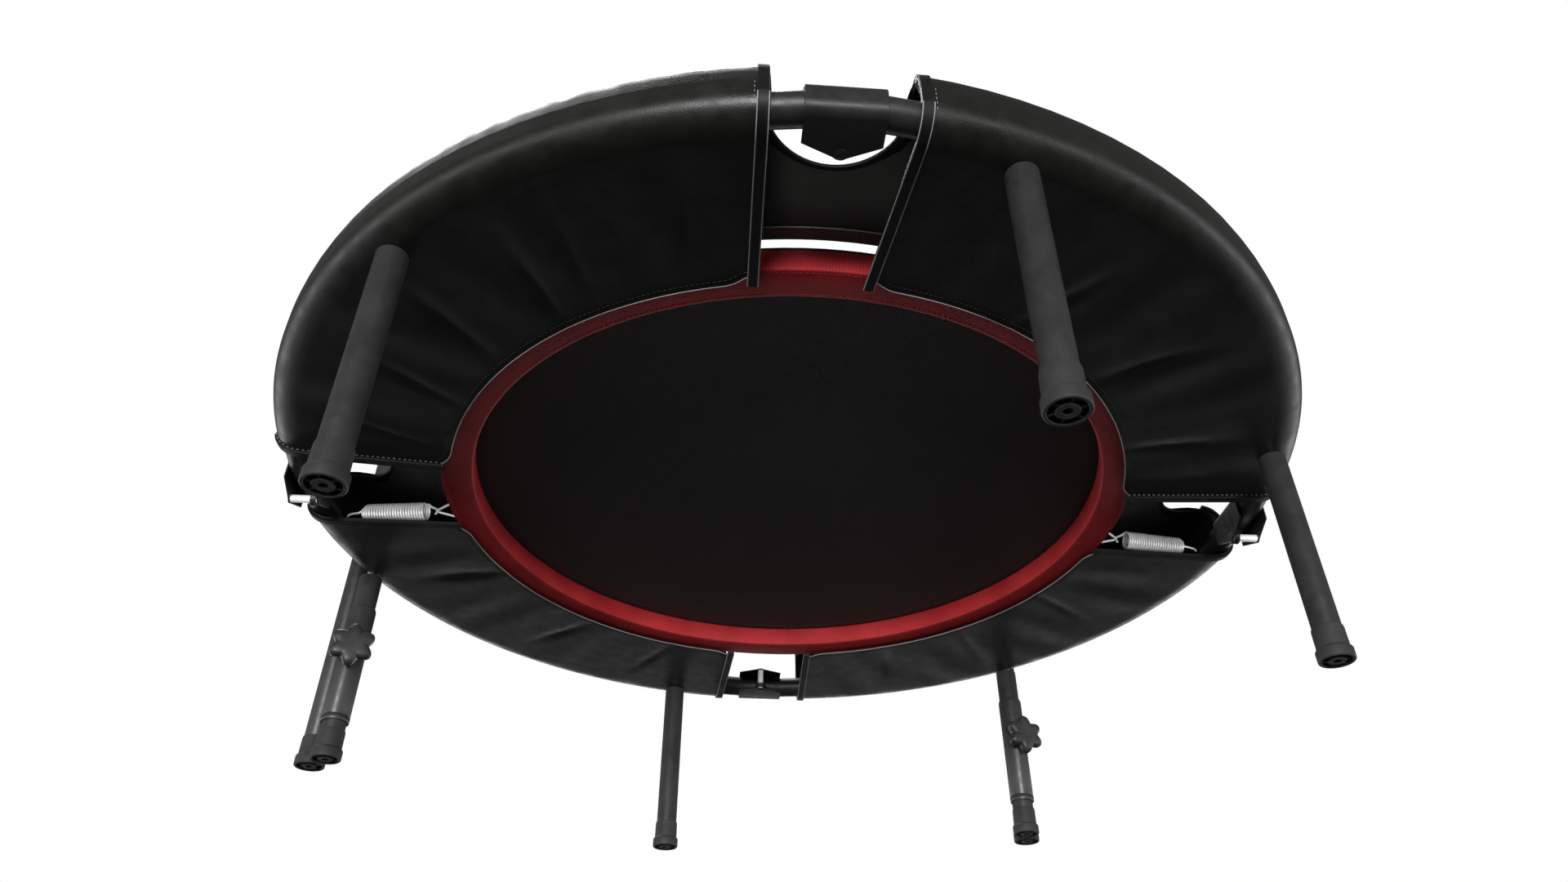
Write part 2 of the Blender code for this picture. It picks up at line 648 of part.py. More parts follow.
def make_handlebar(bodies, steel, rubber, plastic, foam):
    """Everything here is laid out in the handlebar's own frame and turned to its azimuth."""
    turn = Matrix.Rotation(math.radians(HANDLE_AZIMUTH - 90.0), 4, "Z")
    rear = bodies["rear"]
    for side_name, side in (("left", -1.0), ("right", 1.0)):
        at_leg = turn @ Matrix.Translation((side * CLAMP_X, CLAMP_Y, 0.0))
        at_post = turn @ Matrix.Translation((side * POST_X, POST_Y, 0.0))
        post = [(LEG_RADIUS - TUBE_WALL, CAP_FLOOR + GAP), (LEG_RADIUS, CAP_FLOOR + GAP),
                (LEG_RADIUS, POST_TOP), (LEG_RADIUS - TUBE_WALL, POST_TOP)]
        place(f"handle_post_{side_name}", revolve("post", post, LEG_SIDES), steel, rear, at_post)
        place(f"post_foot_{side_name}", foot_mesh("post_foot"), rubber, rear, at_post)
        place(f"post_collar_{side_name}", collar_mesh(), plastic, rear, at_post)
        place(f"clamp_sleeve_{side_name}", sleeve_mesh(side), steel, rear, at_leg)
        place(f"clamp_knob_{side_name}", knob_mesh(), plastic, rear, at_leg @ knob_matrix())
    slide = joint_empty("handlebar_slide", (0.0, 0.0, 0.0), HANDLE_AZIMUTH - 90.0, rear)
    slide_world = turn @ Matrix.Translation((0.0, POST_Y, 0.0))
    across = Vector((0.0, 1.0, 0.0))
    bar = tube("bar", bar_path(), BAR_RADIUS, TUBE_WALL, 8, across)
    grip_ends = [Vector((x, 0.0, BAR_TOP)) for x in (-GRIP_HALF_LENGTH, GRIP_HALF_LENGTH)]
    grip_wall = GRIP_RADIUS - BAR_RADIUS - 0.0009
    grip = tube("grip", grip_ends, GRIP_RADIUS, grip_wall, 14, across)
    local = Matrix.Translation((0.0, POST_Y, 0.0))
    for name, mesh, finish in (("handle_bar", bar, steel), ("handle_grip", grip, foam)):
        part = place(name, mesh, finish, None, slide_world)
        part.parent = slide
        part.matrix_basis = local


# ---------------------------------------------------------------- the whole trampoline

def main():
    for old in list(bpy.data.objects):
        bpy.data.objects.remove(old, do_unlink=True)
    steel = material("black_powder_coat", (0.028, 0.028, 0.028), 0.45, 0.3)
    zinc = material("zinc_plated_steel", (0.72, 0.72, 0.72), 0.35, 0.9)
    rubber = material("black_rubber", (0.025, 0.025, 0.025), 0.7)
    plastic = material("black_plastic", (0.02, 0.02, 0.02), 0.5)
    foam = material("black_foam", (0.018, 0.018, 0.018), 0.9)
    vinyl = material("black_vinyl", (0.008, 0.008, 0.007), 0.4)
    mat_fabric = material("woven_mat", (0.012, 0.012, 0.012), 0.8)
    red = material("red_border", (0.50, 0.03, 0.035), 0.6)
    bodies = {
        "front": joint_empty("front_half", (0.0, 0.0, 0.0)),
        "rear": joint_empty("half_fold", (0.0, 0.0, PIN_HEIGHT)),
    }
    make_rim(bodies, steel)
    make_hinges(bodies, steel, zinc)
    make_legs(bodies, steel, zinc, rubber)
    make_mat(bodies, mat_fabric, red)
    make_springs(bodies, zinc)
    make_pads(bodies, vinyl)
    make_flaps(bodies, vinyl)
    make_handlebar(bodies, steel, rubber, plastic, foam)


main()
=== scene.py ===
"""Looks for the folding mini trampoline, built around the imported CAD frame.

Metres, +Z up, origin on the floor under the mat's centre, +X to the right hinge, +Y to the rear.
"""

import json
import math

import bmesh
import bpy
from mathutils import Matrix, Vector

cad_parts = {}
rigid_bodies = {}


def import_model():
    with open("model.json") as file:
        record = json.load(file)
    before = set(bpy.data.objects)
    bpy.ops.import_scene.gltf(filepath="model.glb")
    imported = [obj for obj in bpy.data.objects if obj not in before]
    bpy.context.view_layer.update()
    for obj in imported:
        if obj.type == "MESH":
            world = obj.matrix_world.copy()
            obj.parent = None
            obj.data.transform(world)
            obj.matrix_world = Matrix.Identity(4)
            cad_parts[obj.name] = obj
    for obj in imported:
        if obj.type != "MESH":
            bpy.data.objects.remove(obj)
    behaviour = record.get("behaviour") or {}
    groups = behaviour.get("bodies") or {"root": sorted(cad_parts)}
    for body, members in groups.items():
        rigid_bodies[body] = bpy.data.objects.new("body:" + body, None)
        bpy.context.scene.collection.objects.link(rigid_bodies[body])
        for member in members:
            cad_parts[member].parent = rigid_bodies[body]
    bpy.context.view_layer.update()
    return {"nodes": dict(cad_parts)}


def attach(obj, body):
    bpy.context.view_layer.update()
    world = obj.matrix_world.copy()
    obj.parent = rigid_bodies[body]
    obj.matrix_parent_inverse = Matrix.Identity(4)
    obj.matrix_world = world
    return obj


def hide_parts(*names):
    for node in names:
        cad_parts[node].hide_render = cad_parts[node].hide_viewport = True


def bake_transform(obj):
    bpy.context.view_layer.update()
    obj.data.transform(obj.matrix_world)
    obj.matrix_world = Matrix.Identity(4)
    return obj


TAU = math.tau
UP = Vector((0.0, 0.0, 1.0))

# The CAD's sizes
RIM_RADIUS = 0.4935
RIM_HEIGHT = 0.2323
MAT_RADIUS = 0.354
MAT_BOTTOM = 0.2411
MAT_TOP = 0.2431
BORDER_INNER = 0.323
BORDER_OUTER = 0.3545
BORDER_BOTTOM = 0.2181
BORDER_TOP = 0.2408
COVER_RADIUS = 0.5095
PAD_BOTTOM = 0.248
PAD_INNER = 0.359
FLAP_BOTTOM = 0.2134
FLAP_INNER = 0.344
FLAP_THICKNESS = 0.0016
FLAP_CORNER = 0.026  # out from the bend's start to the wall
FLAP_RISE = 0.020  # up from the bend's start to the wall
STRIP_WIDTH = 0.0080
# Each flap's first and last side edge, as an offset from the hinge line at its inner and outer edge
FLAP_EDGES = {
    "rear_right": ((0.045, 0.050), (0.049, 0.0545)),
    "rear_left": ((0.042, 0.0545), (0.044, 0.046)),
    "front_left": ((0.057, 0.072), (0.051, 0.053)),
    "front_right": ((0.0335, 0.0525), (0.054, 0.067)),
}
NOTCH_HALF_WIDTH = 0.053
NOTCH_RADIUS = 0.465
NOTCH_DEPTH = 0.0455
PIN_DROP = 0.0245
BRACKET_OUT = 0.0149
HANDLE_AZIMUTH = 104.3
LEG_CIRCLE = 0.4827
CLAMP_LEG_CIRCLE = 0.4994
CLAMP_LEG_ANGLE = 55.2
LEG_OFFSETS = {
    "rear_mid": 0.0, "rear_left": CLAMP_LEG_ANGLE, "front_left": 122.0,
    "front_mid": 181.3, "front_right": 238.9, "rear_right": -CLAMP_LEG_ANGLE,
}
LEG_RADIUS = 0.0125
LEG_TOP = 0.2131
POST_CIRCLE = 0.529
POST_ANGLE = 53.7
POST_TOP = 0.600
BAR_RADIUS = 0.0102
BAR_BOTTOM = 0.330
BAR_TOP = 0.860
BAR_BEND = 0.080
GRIP_HALF_LENGTH = 0.240
KNOB_HEIGHT = 0.118
SLEEVE_BOTTOM = 0.0395
SLEEVE_TOP = 0.173
HINGES = ("right", "rear", "left", "front")  # at 0, 90, 180 and 270 degrees
QUADRANTS = ("rear_right", "rear_left", "front_left", "front_right")
SIDE_SPRING_ANGLE = 8.0
END_SPRING_ANGLE = 11.2
SPRINGS_A_QUARTER = 8

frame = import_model()
scene = bpy.context.scene


# ---------------------------------------------------------------- materials

class Nodes:
    """A short way to wire a material's nodes."""

    def __init__(self, name, colour, roughness, metallic=0.0, specular=0.5):
        self.material = bpy.data.materials.new(name)
        self.material.use_nodes = True
        self.tree = self.material.node_tree
        self.shader = self.tree.nodes["Principled BSDF"]
        self.shader.inputs["Base Color"].default_value = (*colour, 1.0)
        self.shader.inputs["Roughness"].default_value = roughness
        self.shader.inputs["Metallic"].default_value = metallic
        self.shader.inputs["Specular IOR Level"].default_value = specular
        self.where = self.add("ShaderNodeTexCoord").outputs["Object"]

    def add(self, kind, **values):
        node = self.tree.nodes.new(kind)
        for key, value in values.items():
            if key in node.inputs:
                node.inputs[key].default_value = value
            else:
                setattr(node, key, value)
        return node

    def link(self, source, target):
        self.tree.links.new(source, target)

    def noise(self, scale, detail=3.0, stretch=None):
        node = self.add("ShaderNodeTexNoise", Scale=scale, Detail=detail)
        place = self.where
        if stretch:
            mapping = self.add("ShaderNodeMapping", Scale=stretch)
            self.link(place, mapping.inputs["Vector"])
            place = mapping.outputs["Vector"]
        self.link(place, node.inputs["Vector"])
        return node.outputs["Fac"]

    def ramp(self, source, low, high, start=0.35, end=0.65, target="Base Color"):
        """Maps a factor to colours or numbers, and wires it to one of the shader's inputs."""
        node = self.add("ShaderNodeValToRGB")
        elements = node.color_ramp.elements
        elements[0].position, elements[1].position = start, end
        for element, value in zip(elements, (low, high)):
            element.color = (*value, 1.0) if isinstance(value, tuple) else (value, value, value, 1.0)
        self.link(source, node.inputs["Fac"])
        if target:
            self.link(node.outputs["Color"], self.shader.inputs[target])
        return node.outputs["Color"]

    def math(self, operation, first, second):
        node = self.add("ShaderNodeMath", operation=operation)
        for index, value in enumerate((first, second)):
            if isinstance(value, (int, float)):
                node.inputs[index].default_value = value
            else:
                self.link(value, node.inputs[index])
        return node.outputs[0]

    def bump(self, *layers):
        """Layers of (height, distance, strength), each on top of the last."""
        last = None
        for height, distance, strength in layers:
            node = self.add("ShaderNodeBump", Distance=distance, Strength=strength)
            self.link(height, node.inputs["Height"])
            if last:
                self.link(last, node.inputs["Normal"])
            last = node.outputs["Normal"]
        self.link(last, self.shader.inputs["Normal"])
        return self

    def weave(self, pitch, turned=False):
        """Height of a plain weave with threads along X and Y, or X and Z."""
        split = self.add("ShaderNodeSeparateXYZ")
        self.link(self.where, split.inputs[0])
        waves = []
        for axis in ("X", "Z" if turned else "Y"):
            scaled = self.math("MULTIPLY", split.outputs[axis], TAU / pitch)
            waves.append(self.math("SINE", scaled, 0.0))
        return self.math("MULTIPLY", waves[0], waves[1])


def coated_fabric(name, colour, roughness, specular=0.5):
    made = Nodes(name, colour, roughness, specular=specular)
    dark = tuple(0.8 * c for c in colour)
    made.ramp(made.noise(9.0), dark, tuple(1.25 * c for c in colour))
    made.ramp(made.noise(60.0), roughness - 0.06, roughness + 0.08, target="Roughness")
    return made.bump((made.noise(14.0, 2.0), 0.004, 0.12), (made.noise(900.0, 2.0), 0.0004, 0.35))


def powder_coat(name, colour, roughness=0.42):
    made = Nodes(name, colour, roughness, metallic=0.0, specular=0.5)
    made.ramp(made.noise(30.0), tuple(0.85 * c for c in colour), tuple(1.2 * c for c in colour))
    made.ramp(made.noise(120.0), roughness - 0.05, roughness + 0.07, target="Roughness")
    return made.bump((made.noise(1400.0, 2.0), 0.0003, 0.25))


def moulded(name, colour, roughness):
    made = Nodes(name, colour, roughness, specular=0.4)
    made.ramp(made.noise(40.0), tuple(0.8 * c for c in colour), tuple(1.25 * c for c in colour))
    made.ramp(made.noise(300.0), roughness - 0.08, roughness + 0.08, target="Roughness")
    return made.bump((made.noise(1800.0, 3.0), 0.0003, 0.4))


def zinc_plate(name, colour):
    made = Nodes(name, colour, 0.42, metallic=0.3, specular=0.6)
    made.ramp(made.noise(90.0), tuple(0.9 * c for c in colour), colour)
    made.ramp(made.noise(260.0), 0.34, 0.5, target="Roughness")
    return made.bump((made.noise(1200.0, 2.0), 0.0002, 0.3))


def make_materials():
    made = {
        "vinyl": coated_fabric("cover_vinyl", (0.0076, 0.0076, 0.0064), 0.42),
        "binding": coated_fabric("binding_vinyl", (0.0042, 0.0042, 0.0040), 0.55, 0.3),
        # The pad's charcoal lining fabric, its colour also painted lighter than the vinyl as painted light
        # in the shade under the pad
        "lining": coated_fabric("pad_lining_with_painted_light", (0.020, 0.020, 0.0185), 0.6, 0.5),
        "hem": coated_fabric("hem_vinyl", (0.085, 0.085, 0.082), 0.45, 0.6),
        # A real cord, coloured pale grey as a painted highlight along the edges of black piping
        "piping": coated_fabric("piping_cord_painted_highlight", (0.34, 0.34, 0.34), 0.5),
        "steel": powder_coat("black_powder_coat", (0.022, 0.022, 0.0224)),
        "tube": powder_coat("leg_powder_coat", (0.030, 0.030, 0.0305), 0.38),
        "rubber": moulded("foot_rubber", (0.031, 0.031, 0.0315), 0.6),
        "plastic": moulded("knob_plastic", (0.030, 0.030, 0.0305), 0.42),
        "foam": moulded("grip_foam", (0.013, 0.013, 0.013), 0.85),
        "zinc": zinc_plate("zinc_plate", (0.80, 0.80, 0.81)),
    }
    foam = made["foam"]
    foam.bump((foam.noise(700.0, 4.0), 0.0010, 0.8))
    mat = Nodes("woven_mat", (0.050, 0.050, 0.0505), 0.72, specular=0.5)
    mat.ramp(mat.noise(5.0), (0.046, 0.046, 0.0465), (0.054, 0.054, 0.0545))
    made["mat"] = mat.bump((mat.weave(0.0022), 0.0004, 0.5), (mat.noise(350.0), 0.0003, 0.3))
    red = Nodes("red_webbing", (0.52, 0.027, 0.033), 0.62, specular=0.3)
    red.ramp(red.noise(26.0), (0.45, 0.020, 0.026), (0.56, 0.032, 0.038))
    made["red"] = red.bump((red.weave(0.0026), 0.0004, 0.35), (red.noise(500.0), 0.0003, 0.4))
    thread = Nodes("thread", (0.30, 0.30, 0.30), 0.7)
    thread.ramp(thread.noise(800.0), (0.24, 0.24, 0.24), (0.36, 0.36, 0.36))
    made["thread"] = thread.bump((thread.noise(2500.0), 0.0002, 0.5))
    dark = Nodes("dark_thread", (0.03, 0.03, 0.03), 0.7)
    dark.ramp(dark.noise(800.0), (0.024, 0.024, 0.024), (0.038, 0.038, 0.038))
    made["dark_thread"] = dark.bump((dark.noise(2500.0), 0.0002, 0.5))
    floor = Nodes("pale_floor", (0.86, 0.86, 0.86), 0.8)
    made["floor"] = floor.bump((floor.noise(3.0), 0.002, 0.05))
    return made


MATERIALS = make_materials()


# ---------------------------------------------------------------- mesh helpers

def polar(radius, degrees, height=0.0):
    angle = math.radians(degrees)
    return Vector((radius * math.cos(angle), radius * math.sin(angle), height))


def piece(name, points, faces, finish, body=None, slot=None, replaces=(), sharp=38.0, blend=None):
    """A closed mesh, smooth but for sharp edges, that rides on a body, or with a blend stays where it is on
    no body.
    """
    mesh = bpy.data.meshes.new(name)
    mesh.from_pydata([tuple(p) for p in points], [], faces)
    editable = bmesh.new()
    editable.from_mesh(mesh)
    bmesh.ops.remove_doubles(editable, verts=editable.verts, dist=1e-6)
    bmesh.ops.recalc_face_normals(editable, faces=editable.faces)
    editable.to_mesh(mesh)
    editable.free()
    mesh.materials.append(MATERIALS[finish].material)
    mesh.shade_smooth()
    mesh.set_sharp_from_angle(angle=math.radians(sharp))
    made = bpy.data.objects.new(name, mesh)
    bpy.context.collection.objects.link(made)
    return settle(made, body, replaces, blend)


def settle(made, body, replaces=(), blend=None):
    if blend:
        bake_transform(made)
    else:
        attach(made, body)
    if replaces:
        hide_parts(*replaces)
    return made


def grid_faces(rows, columns, wrap_rows=False, wrap_columns=False, base=0):
    faces = []
    for row in range(rows if wrap_rows else rows - 1):
        below = (row + 1) % rows
        for column in range(columns if wrap_columns else columns - 1):
            beside = (column + 1) % columns
            faces.append((base + row * columns + column, base + row * columns + beside,
                          base + below * columns + beside, base + below * columns + column))
    return faces


class Soup:
    """Several closed shapes gathered into one object."""

    def __init__(self):
        self.points = []
        self.faces = []

    def add(self, points, faces):
        base = len(self.points)
        self.points.extend(points)
        self.faces.extend(tuple(base + i for i in face) for face in faces)

    def piece(self, name, finish, **words):
        return piece(name, self.points, self.faces, finish, **words)


def sweep(path, section, frames, closed=False):
    """Points and faces of a section drawn along a path. A frame is the pair of its axes at a point."""
    points = []
    for centre, (first, second) in zip(path, frames):
        points.extend(centre + first * a + second * b for a, b in section)
    count = len(section)
    faces = grid_faces(len(path), count, wrap_rows=closed, wrap_columns=True)
    if not closed:
        faces.append(tuple(range(count)))
        faces.append(tuple(range(len(points) - count, len(points))))
    return points, faces


def round_section(radius, sides):
    return [(radius * math.cos(TAU * s / sides), radius * math.sin(TAU * s / sides)) for s in range(sides)]


def strip_section(width, thickness, round_by=0.0008):
    """A flat band's section with eased edges; its second axis is the way it stands proud."""
    half = width / 2
    return [(-half, -thickness * 0.4), (half, -thickness * 0.4), (half, thickness - round_by),
            (half - round_by, thickness), (-half + round_by, thickness), (-half, thickness - round_by)]


def tube_frames(path, closed=False, hint=UP):
    """Axes across a path, carried along it without twisting."""
    frames = []
    count = len(path)
    across = None
    for index in range(count):
        before = path[index - 1] if index or closed else path[0]
        after = path[(index + 1) % count] if index < count - 1 or closed else path[-1]
        onward = (after - before).normalized()
        if across is None:
            across = onward.cross(hint)
            if across.length < 1e-4:
                across = onward.orthogonal()
        across = (across - onward * across.dot(onward)).normalized()
        frames.append((across, onward.cross(across)))
    return frames


def tube(path, radius, sides=12, closed=False, hint=UP):
    return sweep(path, round_section(radius, sides), tube_frames(path, closed, hint), closed)


def circle_points(radius, height, sides):
    return [Vector((radius * math.cos(TAU * s / sides), radius * math.sin(TAU * s / sides), height))
            for s in range(sides)]


def lathe(outline, sides=36, matrix=None):
    """Points and faces of a closed radius-height outline turned about Z. A radius of 0 makes a pole."""
    points, rows = [], []
    for radius, height in outline:
        if radius < 1e-7:
            rows.append([len(points)] * sides)
            points.append(Vector((0.0, 0.0, height)))
            continue
        rows.append(list(range(len(points), len(points) + sides)))
        points.extend(circle_points(radius, height, sides))
    faces = []
    closed = outline[0][0] > 1e-7 or outline[-1][0] > 1e-7
    for index in range(len(rows) if closed else len(rows) - 1):
        here, there = rows[index], rows[(index + 1) % len(rows)]
        for side in range(sides):
            across = (side + 1) % sides
            corners = [here[side], here[across], there[across], there[side]]
            corners = [c for i, c in enumerate(corners) if c not in corners[:i]]
            if len(corners) > 2:
                faces.append(tuple(corners))
    if matrix:
        points = [matrix @ p for p in points]
    return points, faces


def rounded(outline, radius, steps=3):
    """A closed outline with its corners eased: each corner is a point, or a point and its own radius."""
    result = []
    count = len(outline)
    for index in range(count):
        corner = Vector(outline[index][:2])
        own = outline[index][2] if len(outline[index]) > 2 else radius
        before = Vector(outline[index - 1][:2]) - corner
        after = Vector(outline[(index + 1) % count][:2]) - corner
        reach = min(own, before.length * 0.45, after.length * 0.45)
        if reach < 1e-5:
            result.append(tuple(corner))
            continue
        start = corner + before.normalized() * reach
        end = corner + after.normalized() * reach
        for step in range(steps + 1):
            t = step / steps
            point = start * (1 - t) ** 2 + corner * (2 * t * (1 - t)) + end * t ** 2
            result.append((point.x, point.y))
    return result


def box_shape(low, high, matrix=None):
    points = [Vector((x, y, z)) for z in (low[2], high[2])
              for x, y in ((low[0], low[1]), (high[0], low[1]), (high[0], high[1]), (low[0], high[1]))]
    if matrix:
        points = [matrix @ p for p in points]
    return points, [(0, 1, 2, 3), (4, 5, 6, 7), (0, 1, 5, 4), (1, 2, 6, 5), (2, 3, 7, 6), (3, 0, 4, 7)]


def stitches(soup, path, normals, pitch=0.0046, length=0.0030, radius=0.00042, lift=0.0002):
    """Short threads laid along a path, each a small six-sided bead."""
    travelled, target = 0.0, pitch / 2
    for index in range(len(path) - 1):
        start, end = path[index], path[index + 1]
        step = (end - start).length
        while target <= travelled + step:
            centre = start.lerp(end, (target - travelled) / step) + normals[index] * lift
            onward = (end - start).normalized()
            side = onward.cross(normals[index]).normalized()
            ring = []
            for along, scale in ((-0.5, 0.25), (-0.3, 1.0), (0.3, 1.0), (0.5, 0.25)):
                for turn in range(6):
                    angle = TAU * turn / 6
                    ring.append(centre + onward * (along * length)
                                + side * (radius * scale * math.cos(angle))
                                + normals[index] * (radius * scale * math.sin(angle)))
            faces = grid_faces(4, 6, wrap_columns=True)
            faces.append(tuple(range(6)))
            faces.append(tuple(range(18, 24)))
            soup.add(ring, faces)
            target += pitch
        travelled += step


def soften_group():
    """Nodes that shade a mesh smooth but for its sharp edges."""
    tree = bpy.data.node_groups.new("smooth_shading", "GeometryNodeTree")
    tree.interface.new_socket("Geometry", in_out="INPUT", socket_type="NodeSocketGeometry")
    tree.interface.new_socket("Geometry", in_out="OUTPUT", socket_type="NodeSocketGeometry")
    start, end = tree.nodes.new("NodeGroupInput"), tree.nodes.new("NodeGroupOutput")
    faces, edges = (tree.nodes.new("GeometryNodeSetShadeSmooth") for _ in range(2))
    faces.domain, edges.domain = "FACE", "EDGE"
    angle = tree.nodes.new("GeometryNodeInputMeshEdgeAngle")
    sharp = tree.nodes.new("FunctionNodeCompare")
    sharp.operation = "GREATER_THAN"
    sharp.inputs[1].default_value = math.radians(40)
    edges.inputs["Shade Smooth"].default_value = False
    tree.links.new(angle.outputs[0], sharp.inputs[0])
    tree.links.new(sharp.outputs[0], edges.inputs["Selection"])
    joined = tree.nodes.new("GeometryNodeMergeByDistance")
    joined.inputs["Distance"].default_value = 1e-5
    plain = tree.nodes.new("GeometryNodeRemoveAttribute")
    plain.inputs["Name"].default_value = "custom_normal"
    tree.links.new(start.outputs[0], plain.inputs[0])
    tree.links.new(plain.outputs[0], joined.inputs[0])
    tree.links.new(joined.outputs[0], faces.inputs[0])
    tree.links.new(faces.outputs[0], edges.inputs[0])
    tree.links.new(edges.outputs[0], end.inputs[0])
    return tree


SOFTEN = soften_group()


def repaint(node, finish, bevel=0.0):
    made = frame["nodes"][node]
    made.modifiers.new("smooth_shading", "NODES").node_group = SOFTEN
    made.data.materials.clear()
    made.data.materials.append(MATERIALS[finish].material)
    if bevel:
        modifier = made.modifiers.new("eased_edges", "BEVEL")
        modifier.width = bevel
        modifier.segments = 2
        modifier.limit_method = "ANGLE"
        modifier.angle_limit = math.radians(40)


# ---------------------------------------------------------------- rim, hinges, springs

def half_of(point):
    return "rear_half" if point.y > 0 else "front_half"


def make_rim():
    for quadrant in QUADRANTS:
        repaint(f"rim_{quadrant}", "steel")
    for hinge in HINGES:
        repaint(f"hinge_bracket_{hinge}", "steel", 0.0004)
        degrees = 90.0 * HINGES.index(hinge)
        outward = polar(1.0, degrees)
        if hinge in ("left", "right"):
            centre = outward * RIM_RADIUS + UP * (RIM_HEIGHT - PIN_DROP)
            axis = outward
        else:
            centre = outward * (RIM_RADIUS - PIN_DROP) + UP * RIM_HEIGHT
            axis = UP
        turn = Matrix.Translation(centre) @ axis.to_track_quat("Z", "Y").to_matrix().to_4x4()
        out = BRACKET_OUT
        body = "rear_half" if hinge == "rear" else "front_half"
        points, faces = lathe([(0.0, out - 0.0002), (0.004, out - 0.0002), (0.004, 0.0002 - out),
                               (0.0, 0.0002 - out)], 28, turn)
        piece(f"rivet_{hinge}", points, faces, "zinc", body=body, slot="zinc_steel",
              replaces=[f"hinge_pin_{hinge}"])
        heads = Soup()
        dome = [(0.0, out - 0.0003), (0.0050, out - 0.0003), (0.0050, out + 0.0003), (0.0038, out + 0.0007),
                (0.0020, out + 0.0009), (0.0, out + 0.0010)]
        heads.add(*lathe(dome, 28, turn))
        heads.add(*lathe([(r, -h) for r, h in dome], 28, turn))
        heads.piece(f"rivet_heads_{hinge}", "steel", body=body, slot="zinc_steel")


def spring_points():
    """A close-wound spring along +X from the mat's ring to the rim, tapered at its outer end, with hooks."""
    inner, outer, radius, wire = 0.3900, 0.4595, 0.0092, 0.00125
    turns, steps = 24, 12
    path = [Vector((0.3798, 0.0, -0.0042)), Vector((0.3782, 0.0, -0.0010)), Vector((0.3796, 0.0, 0.0028)),
            Vector((0.3850, 0.0, 0.0052)), Vector((0.3891, 0.0012, 0.0082))]
    for step in range(turns * steps + 1):
        share = step / (turns * steps)
        along = inner + (outer - inner) * share
        taper = 1.0 - 0.5 * max(0.0, (share - 0.91) / 0.09) ** 1.6
        angle = TAU * step / steps + math.pi / 2
        path.append(Vector((along, radius * taper * math.cos(angle), radius * taper * math.sin(angle))))
    path += [Vector((0.4612, 0.0010, 0.0030)), Vector((0.4650, 0.0, 0.0010)), Vector((0.4700, 0.0, 0.0004)),
             Vector((0.4745, 0.0, -0.0006)), Vector((0.4768, 0.0, -0.0035))]
    return tube(path, wire, 6)


def spring_angles():
    angles = []
    for index in range(4):
        first = SIDE_SPRING_ANGLE if index % 2 == 0 else END_SPRING_ANGLE
        last = END_SPRING_ANGLE if index % 2 == 0 else SIDE_SPRING_ANGLE
        step = (90.0 - first - last) / (SPRINGS_A_QUARTER - 1)
        angles += [90.0 * index + first + step * n for n in range(SPRINGS_A_QUARTER)]
    return angles


def make_springs():
    """Every spring and its triangular ring; those beside a hinge stand for the CAD's plain ones."""
    coil, ring = spring_points(), ring_points()
    cad = {}
    for index, hinge in enumerate(HINGES):
        offset = SIDE_SPRING_ANGLE if index % 2 == 0 else END_SPRING_ANGLE
        cad[round((90.0 * index + offset) % 360, 3)] = f"spring_{hinge}_a"
        cad[round((90.0 * index - offset) % 360, 3)] = f"spring_{hinge}_b"
    for number, degrees in enumerate(spring_angles()):
        body = half_of(polar(1.0, degrees))
        turn = Matrix.Translation((0, 0, RIM_HEIGHT)) @ Matrix.Rotation(math.radians(degrees), 4, "Z")
        replaced = [cad[round(degrees % 360, 3)]] if round(degrees % 360, 3) in cad else []
        for kind, shape in (("spring", coil), ("mat_ring", ring)):
            slot = "spring_steel" if kind == "spring" else "zinc_steel"
            moved = [turn @ p for p in shape[0]]
            piece(f"{kind}_{number + 1:02d}", moved, shape[1], "zinc", body=body, slot=slot,
                  replaces=replaced if kind == "spring" else (), sharp=60.0)


def ring_points():
    """The triangular steel ring that ties a spring to the border, with its wide side in the webbing."""
    half, wall, tip = 0.0158, 0.3560, 0.3802
    corners = [(tip, 0.0, 0.004), (wall, half, 0.003), (wall, -half, 0.003)]
    outline = rounded(corners, 0.003, 4)
    path = [Vector((x, y, 0.0)) for x, y in outline]
    return tube(path, 0.0013, 8, closed=True)


# ---------------------------------------------------------------- mat and border

def make_mat():
    rows = 26
    columns = 144
    soup = Soup()
    radii = [MAT_RADIUS * (n / (rows - 1)) for n in range(1, rows)]
    top = [UP * MAT_TOP] + [polar(r, 360.0 * c / columns, MAT_TOP) for r in radii for c in range(columns)]
    low = [UP * MAT_BOTTOM]
    low += [polar(r, 360.0 * c / columns, MAT_BOTTOM) for r in radii for c in range(columns)]
    count = len(top)
    faces = []
    for base in (0, count):
        faces += grid_faces(rows - 1, columns, wrap_columns=True, base=base + 1)
        faces += [(base, base + 1 + c, base + 1 + (c + 1) % columns) for c in range(columns)]
    edge = 1 + (rows - 2) * columns
    faces += [(edge + c, edge + (c + 1) % columns, count + edge + (c + 1) % columns, count + edge + c)
              for c in range(columns)]
    soup.add(top + low, faces)
    mat = soup.piece("jump_mat", "mat", slot="mat_fabric", replaces=["jump_mat_front", "jump_mat_rear"],
                     blend=0.05)
    seam = Soup()
    for radius in (0.3160, 0.3195):
        path = [polar(radius, 0.75 * n, MAT_BOTTOM) for n in range(481)]
        stitches(seam, path, [-UP] * 481, 0.0050, 0.0034, 0.0004, 0.0001)
    seam.piece("mat_seam", "dark_thread", slot="mat_fabric", blend=0.05)


